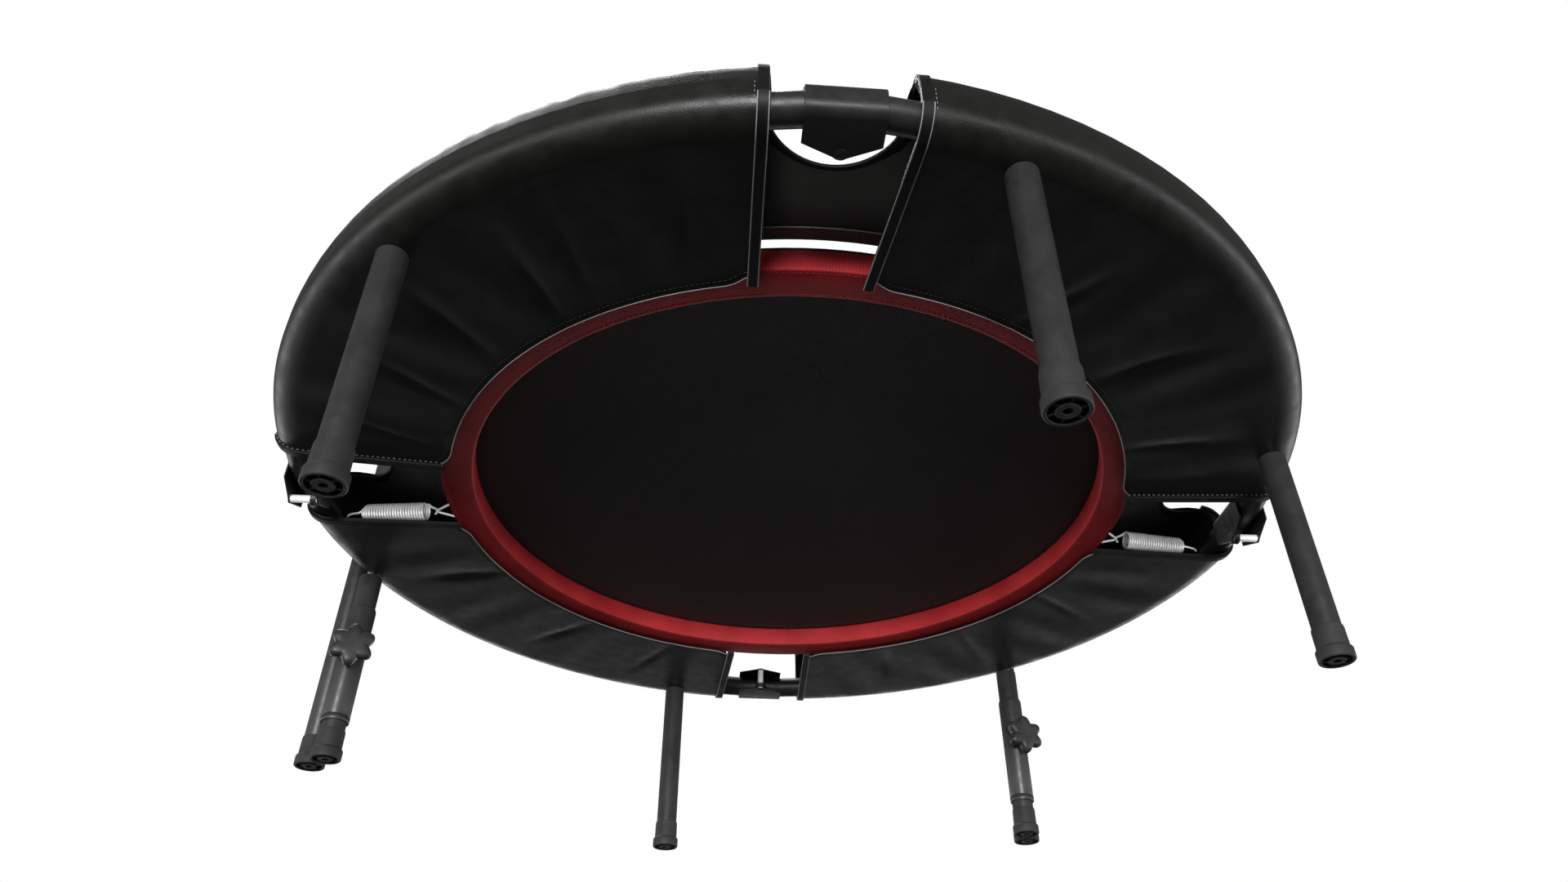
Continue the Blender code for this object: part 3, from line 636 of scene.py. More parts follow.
def make_border():
    """The red band: a thick ring of folded webbing with bound edges and rows of stitching."""
    outline = rounded([(BORDER_INNER, BORDER_BOTTOM), (BORDER_OUTER, BORDER_BOTTOM),
                       (BORDER_OUTER, BORDER_TOP), (BORDER_INNER, BORDER_TOP)], 0.0022, 3)
    columns = 240
    points, faces = lathe(outline, columns)
    border = piece("mat_border", points, faces, "red", slot="border_webbing",
                   replaces=["mat_border_front", "mat_border_rear"], blend=0.05)
    seams = Soup()
    steps = 480
    around = [360.0 * n / steps for n in range(steps + 1)]
    for radius in (0.3268, 0.3505):
        stitches(seams, [polar(radius, a, BORDER_BOTTOM) for a in around], [-UP] * (steps + 1),
                 0.0048, 0.0032, 0.0003, 0.0)
    for height in (0.2213, 0.2376):
        stitches(seams, [polar(BORDER_INNER, a, height) for a in around],
                 [-polar(1.0, a) for a in around], 0.0048, 0.0032, 0.0003, 0.0)
    seams.piece("border_seams", "red", slot="border_webbing", blend=0.05)


# ---------------------------------------------------------------- cover

# Radius and height along the pad's two faces, from its inner edge out
PAD_TOP = [(0.359, 0.248), (0.361, 0.2535), (0.372, 0.2575), (0.400, 0.2640), (0.440, 0.2745),
           (0.472, 0.2810), (0.486, 0.2805), (0.498, 0.2760), (0.5045, 0.2685), (0.508, 0.2600),
           (0.5095, 0.248)]
PAD_LINING = [(0.359, 0.248), (0.372, 0.2488), (0.400, 0.2580), (0.440, 0.2685), (0.472, 0.2745),
              (0.485, 0.2740), (0.4945, 0.2700), (0.5015, 0.2615), (0.504, 0.248)]


def height_at(curve, radius):
    """The height of a smooth curve of (radius, height) knots at a radius."""
    radius = min(max(radius, curve[0][0]), curve[-1][0])
    index = max(i for i in range(len(curve) - 1) if curve[i][0] <= radius)
    (r0, h0), (r1, h1) = curve[index], curve[index + 1]
    before, after = curve[max(index - 1, 0)], curve[min(index + 2, len(curve) - 1)]
    t = (radius - r0) / (r1 - r0)
    limit = 3.0 * (h1 - h0)
    first = (h1 - before[1]) / (r1 - before[0]) * (r1 - r0)
    last = (after[1] - h0) / (after[0] - r0) * (r1 - r0)
    first, last = (max(min(v, max(limit, 0.0)), min(limit, 0.0)) for v in (first, last))
    return (h0 * (1 + 2 * t) + first * t) * (1 - t) ** 2 + (h1 * (3 - 2 * t) - last * (1 - t)) * t ** 2


def notch_edge(steps):
    """Offsets across and radii along half a notch, from its deepest point to the cover's outer edge."""
    edge = []
    for step in range(steps):
        angle = math.pi / 2 * step / (steps - 1)
        edge.append((NOTCH_HALF_WIDTH * math.sin(angle), NOTCH_RADIUS - NOTCH_DEPTH * math.cos(angle)))
    end = math.sqrt(COVER_RADIUS ** 2 - NOTCH_HALF_WIDTH ** 2)
    lift = end - NOTCH_RADIUS
    edge += [(NOTCH_HALF_WIDTH, NOTCH_RADIUS + lift * s) for s in (0.33, 0.66, 1.0)]
    return edge


def outer_edge(arc_steps=26, notch_steps=13):
    """The cover's outline seen from above, as columns of (point, degrees at the inner edge, notch share)."""
    columns = []
    edge = notch_edge(notch_steps)
    corner = math.degrees(math.atan2(edge[-1][0], edge[-1][1]))
    for quarter in range(4):
        middle = 90.0 * quarter
        first = []
        for index, (across, radius) in enumerate(edge):
            share = 1.0 - index / (len(edge) - 1)
            inner = corner * (index / (len(edge) - 1))
            first.append((Vector((radius, across, 0.0)), inner, share))
        arc = [(polar(COVER_RADIUS, corner + (90.0 - 2 * corner) * n / arc_steps),
                corner + (90.0 - 2 * corner) * n / arc_steps, 0.0) for n in range(1, arc_steps)]
        last = [(Vector((p.y, p.x, 0.0)), 90.0 - inner, share) for p, inner, share in reversed(first)][:-1]
        turn = Matrix.Rotation(math.radians(middle), 3, "Z")
        columns += [(turn @ p, middle + inner, share) for p, inner, share in first + arc + last]
    return columns


def pad_top(place):
    """The pad's upper face, pressed thin towards a notch's edge."""
    full, lining = height_at(PAD_TOP, place.length), height_at(PAD_LINING, place.length)
    nearest_hinge = 90.0 * round(math.degrees(math.atan2(place.y, place.x)) / 90.0)
    local = Matrix.Rotation(-math.radians(nearest_hinge), 3, "Z") @ place
    across = abs(local.y) / NOTCH_HALF_WIDTH
    out = min(0.0, local.x - NOTCH_RADIUS) / NOTCH_DEPTH
    beyond = (math.hypot(across, out) - 1.0) * NOTCH_DEPTH
    press = max(0.0, 1.0 - max(beyond, 0.0) / 0.022)
    if place.length > 0.5035:
        return full
    return full - (full - lining - 0.0022) * press * press * (3.0 - 2.0 * press)


def make_pad():
    """A padded sheet that rises over the rim, with its lining below, cut away at each hinge."""
    reaches = [0.0, 0.008, 0.03, 0.07, 0.14, 0.22, 0.31, 0.40, 0.49, 0.58,
               0.66, 0.73, 0.79, 0.85, 0.90, 0.94, 0.965, 0.982, 0.993, 1.0]
    columns = outer_edge()
    points = []
    for outside, degrees, share in columns:
        inside = polar(PAD_INNER, degrees)
        puff = 0.0006 * math.sin(math.radians(degrees) * 26.0) * (1.0 - share)
        for reach in reaches:
            bend = inside.lerp(outside, reach)
            swell = puff * math.sin(math.pi * reach)
            points.append(bend + UP * (pad_top(bend) + swell))
        end = min(1.0, (PAD_LINING[-1][0] - PAD_INNER) / (outside.length - PAD_INNER))
        for reach in reversed(reaches[1:]):
            bend = inside.lerp(outside, reach * end)
            points.append(bend + UP * height_at(PAD_LINING, bend.length))
    size = 2 * len(reaches) - 1
    faces = grid_faces(len(columns), size, wrap_rows=True, wrap_columns=True)
    pad = piece("cover_pad", points, faces, "vinyl", slot="pad_vinyl", sharp=55.0,
                replaces=["top_pad_front", "top_pad_rear"], blend=0.05)
    # The pad's underside takes the lining: a charcoal fabric, painted lighter to stand in for light in the
    # shade under the pad
    pad.data.materials.append(MATERIALS["lining"].material)
    for polygon in pad.data.polygons:
        centre = polygon.center
        radius = math.hypot(centre.x, centre.y)
        middle = (height_at(PAD_TOP, radius) + height_at(PAD_LINING, radius)) / 2
        polygon.material_index = int(centre.z < middle and polygon.normal.z < 0.2)


def make_notch_bindings():
    """A folded tape round each notch, and a piping round the pad's inner edge, below the pad."""
    for index, hinge in enumerate(HINGES):
        turn = Matrix.Rotation(math.radians(90.0 * index), 3, "Z")
        half = notch_edge(16)
        offsets = [(-a, r) for a, r in reversed(half[1:])] + half
        path = []
        for across, out in [(a, r) for a, r in offsets if math.hypot(a, r) < 0.494]:
            radius = min(math.hypot(across, out), COVER_RADIUS - 0.003)
            height = height_at(PAD_LINING, radius) + 0.0011
            path.append(turn @ Vector((out, across, 0.0)) * (radius / math.hypot(across, out)) + UP * height)
        frames = []
        for place in range(len(path)):
            onward = path[min(place + 1, len(path) - 1)] - path[max(place - 1, 0)]
            inward = UP.cross(onward).normalized()
            if inward.dot(turn @ Vector((-1.0, 0.0, 0.0))) < -0.01 or (
                    abs(inward.dot(turn @ Vector((1.0, 0.0, 0.0)))) <= 0.01
                    and inward.dot(path[place] - turn @ Vector((0.46, 0.0, 0.0))) < 0):
                inward = -inward
            frames.append((inward, onward.cross(inward).normalized()))
        band = rounded([(-0.0008, -0.0017), (0.0092, -0.0021), (0.0092, 0.0021), (-0.0008, 0.0017)],
                       0.0008, 2)
        points, faces = sweep(path, band, frames)
        blend = 0.05 if hinge in ("left", "right") else None
        body = None if blend else half_of(turn @ Vector((1.0, 0.0, 0.0)))
        piece(f"notch_binding_{hinge}", points, faces, "binding", body=body, slot="pad_vinyl", blend=blend)
    ring = [polar(PAD_INNER, 1.5 * n, PAD_BOTTOM + 0.0012) for n in range(240)]
    points, faces = tube(ring, 0.0014, 8, closed=True)
    piece("pad_inner_piping", points, faces, "binding", slot="pad_vinyl", blend=0.05)
    points, faces = lathe([(PAD_INNER, PAD_BOTTOM - 0.0002), (PAD_INNER + 0.0004, PAD_BOTTOM - 0.0008),
                           (PAD_INNER + 0.0126, PAD_BOTTOM - 0.0008),
                           (PAD_INNER + 0.0132, PAD_BOTTOM + 0.0002)], 240)
    piece("pad_hem", points, faces, "hem", slot="pad_vinyl", blend=0.05)
    seam = Soup()
    for hinge_angle in (0.0, 90.0, 180.0, 270.0):
        path = [polar(PAD_INNER + 0.0112, hinge_angle - 11 + 0.5 * n, PAD_BOTTOM) for n in range(45)]
        stitches(seam, [p - UP * 0.0008 for p in path], [-UP] * 45, 0.0046, 0.0030, 0.00035, 0.0)
    seam.piece("pad_hem_stitches", "dark_thread", slot="pad_vinyl", blend=0.05)


def flap_section():
    """Radius, height and facing (0 down, 90 outward) from a flap's inner edge up to the pad."""
    corner, rise = FLAP_CORNER, FLAP_RISE
    reach = COVER_RADIUS - corner - FLAP_INNER
    flat = [(FLAP_INNER + reach * n / 20, FLAP_BOTTOM, 0.0) for n in range(21)]
    bend = []
    for step in range(1, 12):
        angle = math.radians(90.0 * step / 12)
        facing = math.degrees(math.atan2(math.sin(angle) / corner, math.cos(angle) / rise))
        bend.append((COVER_RADIUS - corner + corner * math.sin(angle),
                     FLAP_BOTTOM + rise - rise * math.cos(angle), facing))
    wall = [(COVER_RADIUS, FLAP_BOTTOM + rise + (PAD_BOTTOM - 0.0002 - FLAP_BOTTOM - rise) * n / 4, 90.0)
            for n in range(5)]
    return flat + bend + wall


def edge_offset(quadrant, last, radius):
    share = (radius - FLAP_INNER) / (COVER_RADIUS - FLAP_INNER)
    inner, outer = FLAP_EDGES[quadrant][last]
    return inner + (outer - inner) * share


CREASES = {  # degrees, radius and width of each crease in a flap
    "front_left": ((254.5, 0.42, 1.0), (241.5, 0.42, 1.1), (235.0, 0.40, 0.9), (222.0, 0.41, 1.1),
                   (209.0, 0.40, 1.0), (196.0, 0.40, 0.9)),
    "front_right": ((300.0, 0.39, 1.0), (318.0, 0.40, 1.2), (337.0, 0.39, 1.0)),
    "rear_left": ((112.0, 0.39, 1.0), (131.0, 0.40, 1.0), (156.0, 0.39, 1.2)),
    "rear_right": ((28.0, 0.39, 1.1), (49.0, 0.40, 1.0), (66.0, 0.39, 1.0)),
}


def wrinkle(quadrant, degrees, radius):
    """Soft radial puckers where the skirt is drawn in: a faint wave and a few narrow creases."""
    share = (radius - FLAP_INNER) / (COVER_RADIUS - FLAP_INNER)
    along = math.sin(math.pi * min(max(share, 0.0), 1.0)) ** 0.8
    height = 0.00030 * along * (math.sin(degrees * 0.55 + 3.0 * share) + 0.6 * math.sin(degrees * 0.9 + 1.3))
    for middle, centre, width in CREASES[quadrant]:
        off = (degrees - middle - 30.0 * (radius - centre)) / width
        reach = (radius - centre) / 0.040
        height -= 0.0012 * math.exp(-off * off) * math.exp(-reach * reach)
    return height


def flap_point(index, quadrant, u, radius, height, facing, inside):
    """A point of a flap: u runs from one side edge to the other, and inside picks the sheet's inner face."""
    first, last = (math.degrees(math.asin(edge_offset(quadrant, side, radius) / radius)) for side in (0, 1))
    span = 90.0 - first - last
    degrees = 90.0 * index + first + span * u
    from_side = min(u, 1.0 - u) * math.radians(span) * radius
    if facing == 0.0:
        beyond = max(0.0, from_side - STRIP_WIDTH)
        trim = 0.008 * max(0.0, 1.0 - beyond / 0.020) ** 2
        trimmed = radius + trim * max(0.0, 1.0 - (radius - FLAP_INNER) / 0.08)
        drop = wrinkle(quadrant, degrees, radius) * min(1.0, beyond / 0.03)
        point = polar(trimmed, degrees, height - drop)
    else:
        point = polar(radius, degrees, height)
    if inside:
        turn = math.radians(facing)
        point -= (polar(1.0, degrees) * math.sin(turn) - UP * math.cos(turn)) * FLAP_THICKNESS
    return point


def flap_cut(quadrant):
    """A flap's width at the rim, depth and area as cut, from its section and side edges."""
    section = flap_section()
    depth = area = 0.0
    for (r0, h0, _), (r1, h1, _) in zip(section, section[1:]):
        step, radius = math.hypot(r1 - r0, h1 - h0), (r0 + r1) / 2
        span = math.radians(90.0)
        span -= sum(math.asin(edge_offset(quadrant, side, radius) / radius) for side in (0, 1))
        depth += step
        area += step * radius * span
    return radius * span, depth, area


def flap_columns():
    near = [0.0, 0.011, 0.0225, 0.029, 0.037, 0.046, 0.057, 0.069]
    return near + [0.069 + 0.862 * n / 110 for n in range(1, 110)] + [1.0 - u for u in reversed(near)]


def make_flaps():
    section = flap_section()
    across = flap_columns()
    columns = len(across)
    for index, quadrant in enumerate(QUADRANTS):
        body = "rear_half" if quadrant.startswith("rear") else "front_half"
        sheets = []
        for inside in (False, True):
            sheets.append([[flap_point(index, quadrant, u, r, h, facing, inside)
                            for r, h, facing in section] for u in across])
        points = [p for sheet in sheets for column in sheet for p in column]
        size = len(section)
        total = columns * size
        faces = grid_faces(columns, size) + grid_faces(columns, size, base=total)
        for row in (0, size - 1):
            for c in range(columns - 1):
                a, b = c * size + row, (c + 1) * size + row
                faces.append((a, b, total + b, total + a))
        for c in (0, columns - 1):
            for row in range(size - 1):
                a = c * size + row
                faces.append((a, a + 1, total + a + 1, total + a))
        flap = piece(f"cover_flap_{quadrant}", points, faces, "vinyl", body=body, slot="cover_vinyl",
                     replaces=[f"underside_flap_{quadrant}"], sharp=60.0)
        with_pieces = make_flap_edges(quadrant, sheets[0], body) + make_strips(index, quadrant, body)
        width, depth, area = flap_cut(quadrant)


def make_flap_edges(quadrant, columns, body):
    """A hem along a flap's inner edge, with its cord and its stitches."""
    made = []
    hem = [column[0] for column in columns]
    onward = [(hem[min(i + 1, len(hem) - 1)] - hem[max(i - 1, 0)]).normalized() for i in range(len(hem))]
    inward = [UP.cross(o) for o in onward]
    if inward[len(hem) // 2].dot(hem[len(hem) // 2]) < 0:
        inward = [-v for v in inward]
    points, faces = tube([p - UP * 0.0002 + v * 0.0002 for p, v in zip(hem, inward)], 0.0005, 6)
    # The hem cord's pale grey is a painted highlight along the flap's inner edge
    made.append(piece(f"flap_hem_cord_{quadrant}", points, faces, "piping", body=body, slot="cover_vinyl"))
    thread = Soup()
    stitches(thread, [p + v * 0.0060 for p, v in zip(hem, inward)], [-UP] * len(hem),
             0.0046, 0.0030, 0.0003, 0.0)
    made.append(thread.piece(f"flap_hem_stitches_{quadrant}", "dark_thread", body=body, slot="cover_vinyl"))
    return made


def strip_line(quadrant, last, inner):
    """Distance out, height and offset of a strip's middle, from its inner end to the pad's crest."""
    line = [(inner + (COVER_RADIUS - FLAP_CORNER - inner) * n / 8, FLAP_BOTTOM) for n in range(8)]
    line += [(radius, height) for radius, height, _ in flap_section()[20:]]
    shoulder = (0.5092, 0.508, 0.506, 0.503, 0.499, 0.494, 0.487)
    line += [(radius, height_at(PAD_TOP, radius)) for radius in shoulder]
    result = []
    for radius, height in line:
        edge = radius if height < PAD_BOTTOM else COVER_RADIUS
        side = edge_offset(quadrant, last, edge) + STRIP_WIDTH / 2
        result.append((math.sqrt(radius ** 2 - side ** 2), height, side))
    return result


def make_strips(index, quadrant, body):
    """Straight binding strips down a flap's sides, up its wall and over the pad's shoulder."""
    made = []
    thread = Soup()
    for label, sign in (("a", 1.0), ("b", -1.0)):
        hinge = (index + (label == "b")) % 4
        turn = Matrix.Rotation(math.radians(90.0 * hinge), 3, "Z")
        outward, across = turn @ Vector((1.0, 0.0, 0.0)), turn @ Vector((0.0, sign, 0.0))
        line = strip_line(quadrant, label == "b", 0.3435 if hinge % 2 else 0.3490)
        path = [outward * out + across * side + UP * height for out, height, side in line]
        frames = []
        for n in range(len(path)):
            onward = (path[min(n + 1, len(path) - 1)] - path[max(n - 1, 0)]).normalized()
            beside = (across - onward * across.dot(onward)).normalized()
            normal = onward.cross(beside) * sign
            frames.append((beside, -normal if normal.dot(outward - UP * 0.5) < 0 and n < 20 else normal))
        if frames[0][1].z > 0:
            frames = [(b, -n) for b, n in frames]
        points, faces = sweep(path, strip_section(STRIP_WIDTH, 0.0026, 0.0007), frames)
        made.append(piece(f"flap_strip_{quadrant}_{label}", points, faces, "binding", body=body,
                          slot="cover_vinyl"))
        cords = Soup()
        for edge in (-1.0, 1.0):
            side = edge * STRIP_WIDTH / 2
            cords.add(*tube([p + b * side + n * 0.0020 for p, (b, n) in zip(path, frames)], 0.0005, 6))
        # Cords beside the rear and front hinges take the pale grey cord, a painted highlight on the strips'
        # edges
        made.append(cords.piece(f"flap_cords_{quadrant}_{label}", "piping" if hinge % 2 else "binding",
                                body=body, slot="cover_vinyl"))
        rows = [n for n, point in enumerate(path) if hinge % 2 == 0 or point.z > FLAP_BOTTOM + 0.010]
        rows = [n for n in rows if path[n].z < PAD_BOTTOM]
        stitches(thread, [path[n] + frames[n][0] * (STRIP_WIDTH / 2 + 0.0022) for n in rows],
                 [frames[n][1] for n in rows], 0.0050, 0.0026, 0.0003, 0.0001)
    made.append(thread.piece(f"flap_stitches_{quadrant}", "thread", body=body, slot="cover_vinyl"))
    return made


# ---------------------------------------------------------------- legs, feet, clamps

def foot_shape():
    """A stepped cap: plain collar below, narrower collar above, ring recess with spokes underneath."""
    outline = [(0.0030, 0.0058), (0.0030, 0.0006), (0.0036, 0.0), (0.0074, 0.0), (0.0080, 0.0006),
               (0.0080, 0.0040), (0.0126, 0.0040), (0.0126, 0.0006), (0.0132, 0.0), (0.0148, 0.0),
               (0.0156, 0.0008), (0.0157, 0.0016), (0.0157, 0.0094), (0.0154, 0.0101), (0.0146, 0.0106),
               (0.01395, 0.0112), (0.0138, 0.0120), (0.01365, 0.0290), (0.0134, 0.0305), (0.0128, 0.0310),
               (0.01255, 0.0306), (0.01255, 0.0060)]
    soup = Soup()
    soup.add(*lathe(outline, 40))
    for spoke in range(6):
        turn = Matrix.Rotation(TAU * (spoke + 0.5) / 6, 4, "Z")
        soup.add(*box_shape((0.0077, -0.0008, 0.0006), (0.0129, 0.0008, 0.0043), turn))
    return soup


def move(shape, matrix):
    moved = Soup()
    moved.points = [matrix @ p for p in shape.points]
    moved.faces = list(shape.faces)
    return moved


def leg_position(name):
    radius = CLAMP_LEG_CIRCLE if name in ("rear_left", "rear_right") else LEG_CIRCLE
    return polar(radius, HANDLE_AZIMUTH + LEG_OFFSETS[name])


def tube_outline(bottom, top, radius=LEG_RADIUS, wall=0.0015):
    corners = [(radius - wall, bottom), (radius, bottom), (radius, top), (radius - wall, top)]
    return rounded(corners, 0.0005, 2)


def make_legs():
    foot = foot_shape()
    for name in LEG_OFFSETS:
        body = "rear_half" if name.startswith("rear") else "front_half"
        where = Matrix.Translation(leg_position(name))
        outline = [(0.0110, 0.0063), (0.0125, 0.0063), (0.0125, LEG_TOP - 0.0009),
                   (0.0122, LEG_TOP - 0.0002), (0.0116, LEG_TOP), (0.0050, LEG_TOP),
                   (0.0045, LEG_TOP - 0.0005), (0.0045, 0.1965),
                   (0.0110, 0.1961)]
        points, faces = lathe(outline, 40, where)
        piece(f"leg_tube_{name}", points, faces, "tube", body=body, slot="leg_steel",
              replaces=[f"leg_{name}"])
        move(foot, where).piece(f"foot_cap_{name}", "rubber", body=body, slot="foot_rubber",
                                replaces=[f"foot_{name}"])
        repaint(f"leg_socket_{name}", "zinc")


def knob_shape():
    """A star knob along +Z: six rounded lobes with crowned faces, a hub behind and a stem."""
    lobes, sides = 6, 96
    profile = [(0.0, 0.0335), (0.35, 0.0337), (0.60, 0.0336), (0.80, 0.0331), (0.92, 0.0318),
               (0.985, 0.0295), (1.0, 0.0265), (0.99, 0.0238), (0.94, 0.0220), (0.86, 0.0211),
               (0.62, 0.0208)]
    points, faces, rows = [], [], []
    for share, height in profile:
        if share == 0.0:
            rows.append([0] * sides)
            points.append(Vector((0.0, 0.0, height)))
            continue
        rows.append(list(range(len(points), len(points) + sides)))
        for side in range(sides):
            turn = TAU * side / sides
            wave = 0.5 + 0.5 * math.cos(lobes * (turn - math.pi / 2))
            lobe = 0.0172 + (0.0243 - 0.0172) * wave ** 0.75
            blend = max(0.0, min(1.0, (share - 0.45) / 0.4))
            radius = share * (0.0205 * (1 - blend) + lobe * blend)
            points.append(Vector((radius * math.cos(turn), radius * math.sin(turn), height)))
    hub = [(0.0115, 0.0202), (0.0105, 0.0172), (0.0095, 0.0158), (0.0040, 0.0155), (0.0040, 0.0130)]
    for radius, height in hub:
        rows.append(list(range(len(points), len(points) + sides)))
        points.extend(circle_points(radius, height, sides))
    for here, there in zip(rows, rows[1:]):
        for side in range(sides):
            across = (side + 1) % sides
            corners = [here[side], here[across], there[across], there[side]]
            corners = [c for i, c in enumerate(corners) if c not in corners[:i]]
            faces.append(tuple(corners))
    faces.append(tuple(rows[-1]))
    return points, faces


def make_handlebar():
    turn = Matrix.Rotation(math.radians(HANDLE_AZIMUTH - 90.0), 4, "Z")
    post_x = POST_CIRCLE * math.sin(math.radians(POST_ANGLE))
    post_y = POST_CIRCLE * math.cos(math.radians(POST_ANGLE))
    clamp_x = CLAMP_LEG_CIRCLE * math.sin(math.radians(CLAMP_LEG_ANGLE))
    clamp_y = CLAMP_LEG_CIRCLE * math.cos(math.radians(CLAMP_LEG_ANGLE))
    foot = foot_shape()
    for name, side in (("left", -1.0), ("right", 1.0)):
        at_leg = turn @ Matrix.Translation((side * clamp_x, clamp_y, 0.0))
        at_post = turn @ Matrix.Translation((side * post_x, post_y, 0.0))
        points, faces = lathe(tube_outline(0.0063, POST_TOP), 40, at_post)
        piece(f"post_tube_{name}", points, faces, "tube", body="rear_half", slot="handle_steel",
              replaces=[f"handle_post_{name}"])
        move(foot, at_post).piece(f"post_cap_{name}", "rubber", body="rear_half", slot="foot_rubber",
                                  replaces=[f"post_foot_{name}"])
        collar = [(0.0128, 0.5620), (0.0158, 0.5620), (0.0165, 0.5628), (0.0165, 0.5680), (0.0160, 0.5690),
                  (0.0160, 0.5990), (0.0163, 0.6010), (0.0163, 0.6060), (0.0150, 0.6092), (0.0135, 0.6100),
                  (0.0110, 0.6100), (0.0109, 0.6003), (0.0128, 0.6003)]
        points, faces = lathe(collar, 40, at_post)
        piece(f"collar_{name}", points, faces, "plastic", body="rear_half", slot="collar_plastic",
              replaces=[f"post_collar_{name}"])
        make_sleeve(name, at_leg, at_post)
        face = at_leg @ Matrix.Translation((0, 0, KNOB_HEIGHT)) @ Matrix.Rotation(math.pi / 2, 4, "X")
        points, faces = knob_shape()
        piece(f"star_knob_{name}", [face @ p for p in points], faces, "plastic", body=f"knob_{name}",
              slot="knob_plastic", replaces=[f"clamp_knob_{name}"], sharp=50.0)
    make_bar(turn @ Matrix.Translation((0.0, post_y, 0.0)), post_x)


def make_sleeve(name, at_leg, at_post):
    """The clamp sleeve: a rolled tube with an eased rim and a lower collar, its plate and its nut."""
    soup = Soup()
    sleeve = [(0.0130, SLEEVE_BOTTOM), (0.0143, SLEEVE_BOTTOM), (0.0147, SLEEVE_BOTTOM + 0.0006),
              (0.0147, SLEEVE_BOTTOM + 0.0060), (0.0141, SLEEVE_BOTTOM + 0.0068),
              (0.0145, SLEEVE_BOTTOM + 0.0078), (0.0145, SLEEVE_TOP - 0.0040), (0.0141, SLEEVE_TOP - 0.0014),
              (0.0135, SLEEVE_TOP - 0.0002), (0.0130, SLEEVE_TOP)]
    soup.add(*lathe(sleeve, 40, at_leg))
    leg, post = at_leg.translation, at_post.translation
    onward = (post - leg).normalized()
    reach = (post - leg).length
    basis = Matrix((onward, UP.cross(onward), UP)).transposed().to_4x4()
    far_side = reach - 0.0124
    outline = rounded([(0.0138, 0.0495), (far_side, 0.0495), (far_side, 0.1630), (0.0138, 0.1630)], 0.004, 4)
    points = [Vector((x, y, z)) for y in (-0.003, 0.003) for x, z in outline]
    count = len(outline)
    faces = grid_faces(2, count, wrap_columns=True) + [tuple(range(count)), tuple(range(count, 2 * count))]
    soup.add([Matrix.Translation(leg) @ basis @ p for p in points], faces)
    nut = Matrix.Translation((0, 0, KNOB_HEIGHT)) @ Matrix.Rotation(math.pi / 2, 4, "X")
    nut_outline = [(0.0042, 0.0133), (0.0078, 0.0133), (0.0078, 0.0150), (0.0070, 0.0156), (0.0042, 0.0156)]
    soup.add(*lathe(nut_outline, 28, at_leg @ nut))
    soup.piece(f"sleeve_{name}", "tube", body="rear_half", slot="clamp_steel",
               replaces=[f"clamp_sleeve_{name}"])


def make_bar(matrix, half):
    path = [Vector((-half, 0.0, BAR_BOTTOM)), Vector((-half, 0.0, 0.50)), Vector((-half, 0.0, 0.70)),
            Vector((-half, 0.0, BAR_TOP - BAR_BEND - 0.02))]
    for step in range(13):
        angle = math.radians(180.0 - 90.0 * step / 12)
        path.append(Vector((-half + BAR_BEND + BAR_BEND * math.cos(angle), 0.0,
                            BAR_TOP - BAR_BEND + BAR_BEND * math.sin(angle))))
    path += [Vector((-p.x, 0.0, p.z)) for p in reversed(path)]
    hint = matrix.to_3x3() @ Vector((0, 1, 0))
    points, faces = tube([matrix @ p for p in path], BAR_RADIUS, 28, hint=hint)
    piece("bar_tube", points, faces, "tube", body="handlebar", slot="handle_steel", replaces=["handle_bar"])
    end = -GRIP_HALF_LENGTH
    outline = [(0.0111, end), (0.0140, end), (0.0158, end + 0.0012), (0.0165, end + 0.0040)]
    outline += [(0.0165, -0.2 + 0.05 * n) for n in range(9)]
    outline += [(r, -h) for r, h in reversed(outline[:4])]
    along = matrix @ Matrix.Translation((0.0, 0.0, BAR_TOP)) @ Matrix.Rotation(math.pi / 2, 4, "Y")
    points, faces = lathe(outline, 36, along)
    grip = piece("grip_sleeve", points, faces, "foam", body="handlebar", slot="grip_foam",
                 replaces=["handle_grip"])


# ---------------------------------------------------------------- camera, floor and light

def make_camera():
    camera = bpy.data.objects.new("camera", bpy.data.cameras.new("camera"))
    scene.collection.objects.link(camera)
    camera.data.lens = 24.753
    camera.data.sensor_width = 36.0
    camera.data.clip_start, camera.data.clip_end = 0.01, 50.0
    camera.location = (-0.0785, -0.9586, -0.3920)
    azimuth, elevation = math.radians(85.52), math.radians(36.088)
    forward = Vector((math.cos(elevation) * math.cos(azimuth), math.cos(elevation) * math.sin(azimuth),
                      math.sin(elevation)))
    camera.rotation_mode = "QUATERNION"
    camera.rotation_quaternion = forward.to_track_quat("-Z", "Y")
    scene.camera = camera


def sun(name, towards_light, spread, strength, only=()):
    light = bpy.data.lights.new(name, "SUN")
    light.energy = strength
    light.angle = math.radians(spread)
    made = bpy.data.objects.new(name, light)
    scene.collection.objects.link(made)
    made.rotation_mode = "QUATERNION"
    made.rotation_quaternion = Vector(towards_light).to_track_quat("Z", "Y")
    if only:
        group = bpy.data.collections.new(f"{name}_lit")
        for item in only:
            group.objects.link(item)
        made.light_linking.receiver_collection = group


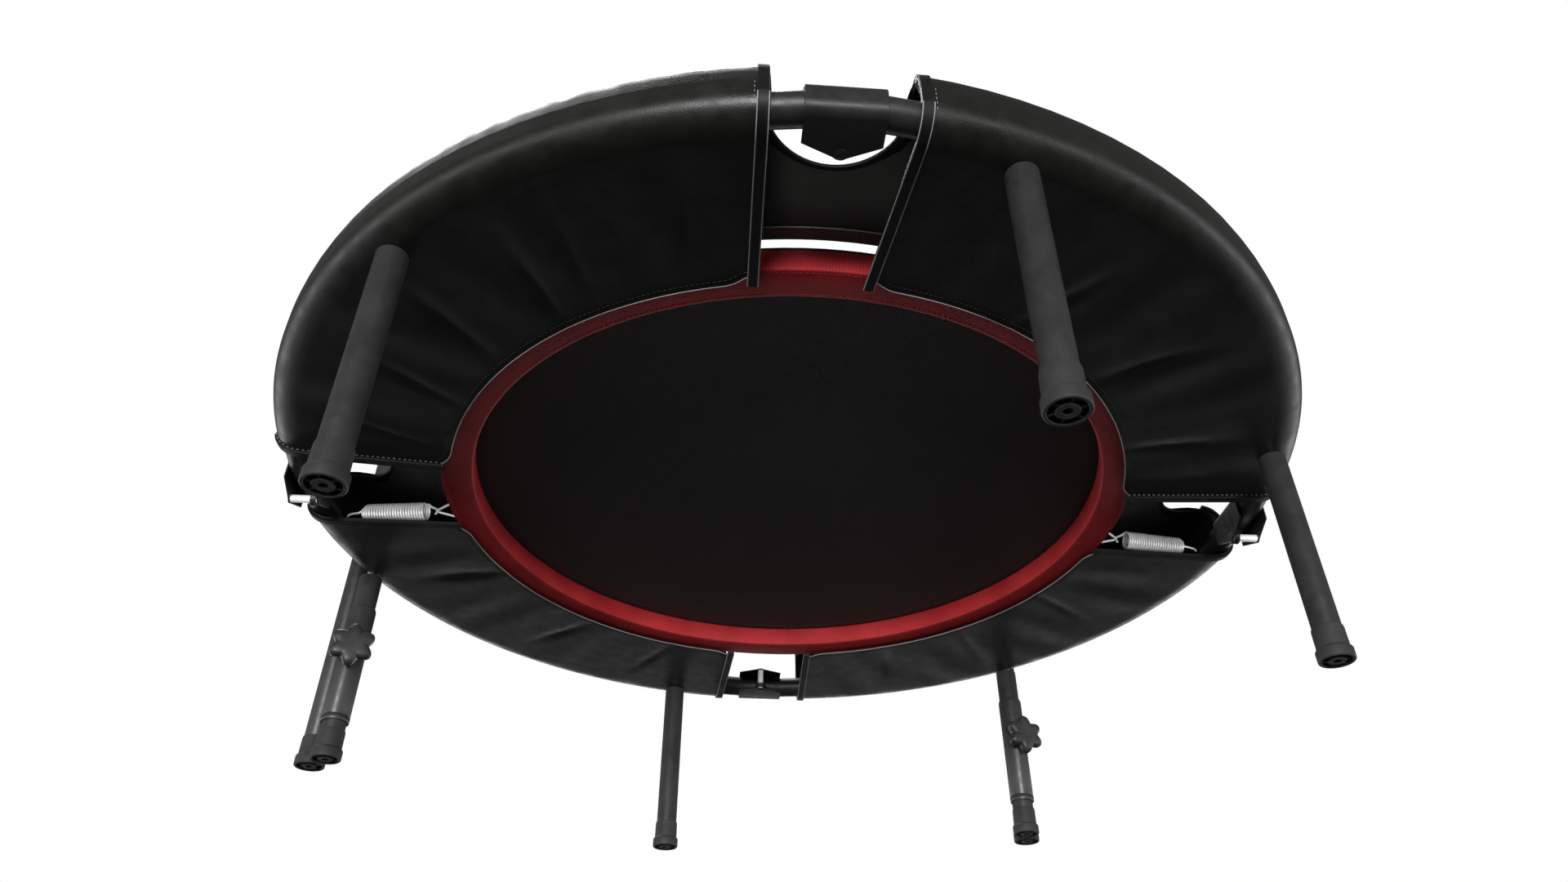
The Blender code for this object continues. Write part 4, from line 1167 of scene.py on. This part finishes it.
def make_floor():
    """A pale floor that only its upper side shows, so that the low camera sees past it."""
    made = Nodes("pale_floor", (0.86, 0.86, 0.86), 0.8)
    made.bump((made.noise(3.0), 0.002, 0.05))
    tree = made.tree
    back = made.add("ShaderNodeNewGeometry").outputs["Backfacing"]
    clear = made.add("ShaderNodeBsdfTransparent")
    mix = made.add("ShaderNodeMixShader")
    output = next(n for n in tree.nodes if n.type == "OUTPUT_MATERIAL")
    made.link(back, mix.inputs[0])
    made.link(made.shader.outputs[0], mix.inputs[1])
    made.link(clear.outputs[0], mix.inputs[2])
    made.link(mix.outputs[0], output.inputs["Surface"])
    mesh = bpy.data.meshes.new("floor")
    ring = [polar(7.0, 3.0 * n, -0.0004) for n in range(120)]
    mesh.from_pydata([tuple(p) for p in ring], [], [tuple(range(120))])
    mesh.materials.append(made.material)
    floor = bpy.data.objects.new("floor", mesh)
    scene.collection.objects.link(floor)
    floor.visible_diffuse = False
    floor.visible_glossy = False
    floor.visible_shadow = False


def make_light():
    world = bpy.data.worlds.new("studio")
    scene.world = world
    world.use_nodes = True
    tree = world.node_tree
    background = tree.nodes["Background"]
    coordinates = tree.nodes.new("ShaderNodeTexCoord")
    split = tree.nodes.new("ShaderNodeSeparateXYZ")
    ramp = tree.nodes.new("ShaderNodeValToRGB")
    shift = tree.nodes.new("ShaderNodeMath")
    shift.operation = "MULTIPLY_ADD"
    shift.inputs[1].default_value = shift.inputs[2].default_value = 0.5
    levels = [(0.0, 0.05), (0.455, 0.05), (0.462, 5.5), (0.498, 5.5),
              (0.502, 1.4), (0.57, 1.4), (0.60, 0.12), (1.0, 0.12)]
    elements = ramp.color_ramp.elements
    for number, (position, level) in enumerate(levels):
        element = elements[number] if number < 2 else elements.new(position)
        element.position = position
        element.color = (level / 5.5, level / 5.5, level / 5.5, 1.0)
    tree.links.new(coordinates.outputs["Generated"], split.inputs[0])
    tree.links.new(split.outputs["Z"], shift.inputs[0])
    tree.links.new(shift.outputs[0], ramp.inputs["Fac"])
    tree.links.new(ramp.outputs["Color"], background.inputs["Color"])
    background.inputs["Strength"].default_value = 5.5
    white = tree.nodes.new("ShaderNodeBackground")
    white.inputs["Color"].default_value = (1.0, 1.0, 1.0, 1.0)
    white.inputs["Strength"].default_value = 1.0
    path = tree.nodes.new("ShaderNodeLightPath")
    mix = tree.nodes.new("ShaderNodeMixShader")
    output = next(n for n in tree.nodes if n.type == "OUTPUT_WORLD")
    tree.links.new(path.outputs["Is Camera Ray"], mix.inputs[0])
    tree.links.new(background.outputs[0], mix.inputs[1])
    tree.links.new(white.outputs[0], mix.inputs[2])
    tree.links.new(mix.outputs[0], output.inputs["Surface"])
    sun("overhead", (-0.25, 0.35, 1.0), 30.0, 2.4)
    sun("low_front", (-0.15, -1.0, -0.055), 12.0, 2.2)
    bright = [o for o in bpy.data.objects if o.name.startswith(("spring_", "mat_ring", "rivet_"))
              and "heads" not in o.name and o.type == "MESH"]
    sun("steel_glint", (0.1, -0.75, -0.6), 25.0, 2.6, bright)
    scene.view_settings.view_transform = "Standard"
    scene.view_settings.look = "None"


def main():
    make_camera()
    make_floor()
    make_rim()
    make_springs()
    make_mat()
    make_border()
    make_pad()
    make_notch_bindings()
    make_flaps()
    make_legs()
    make_handlebar()
    make_light()


main()
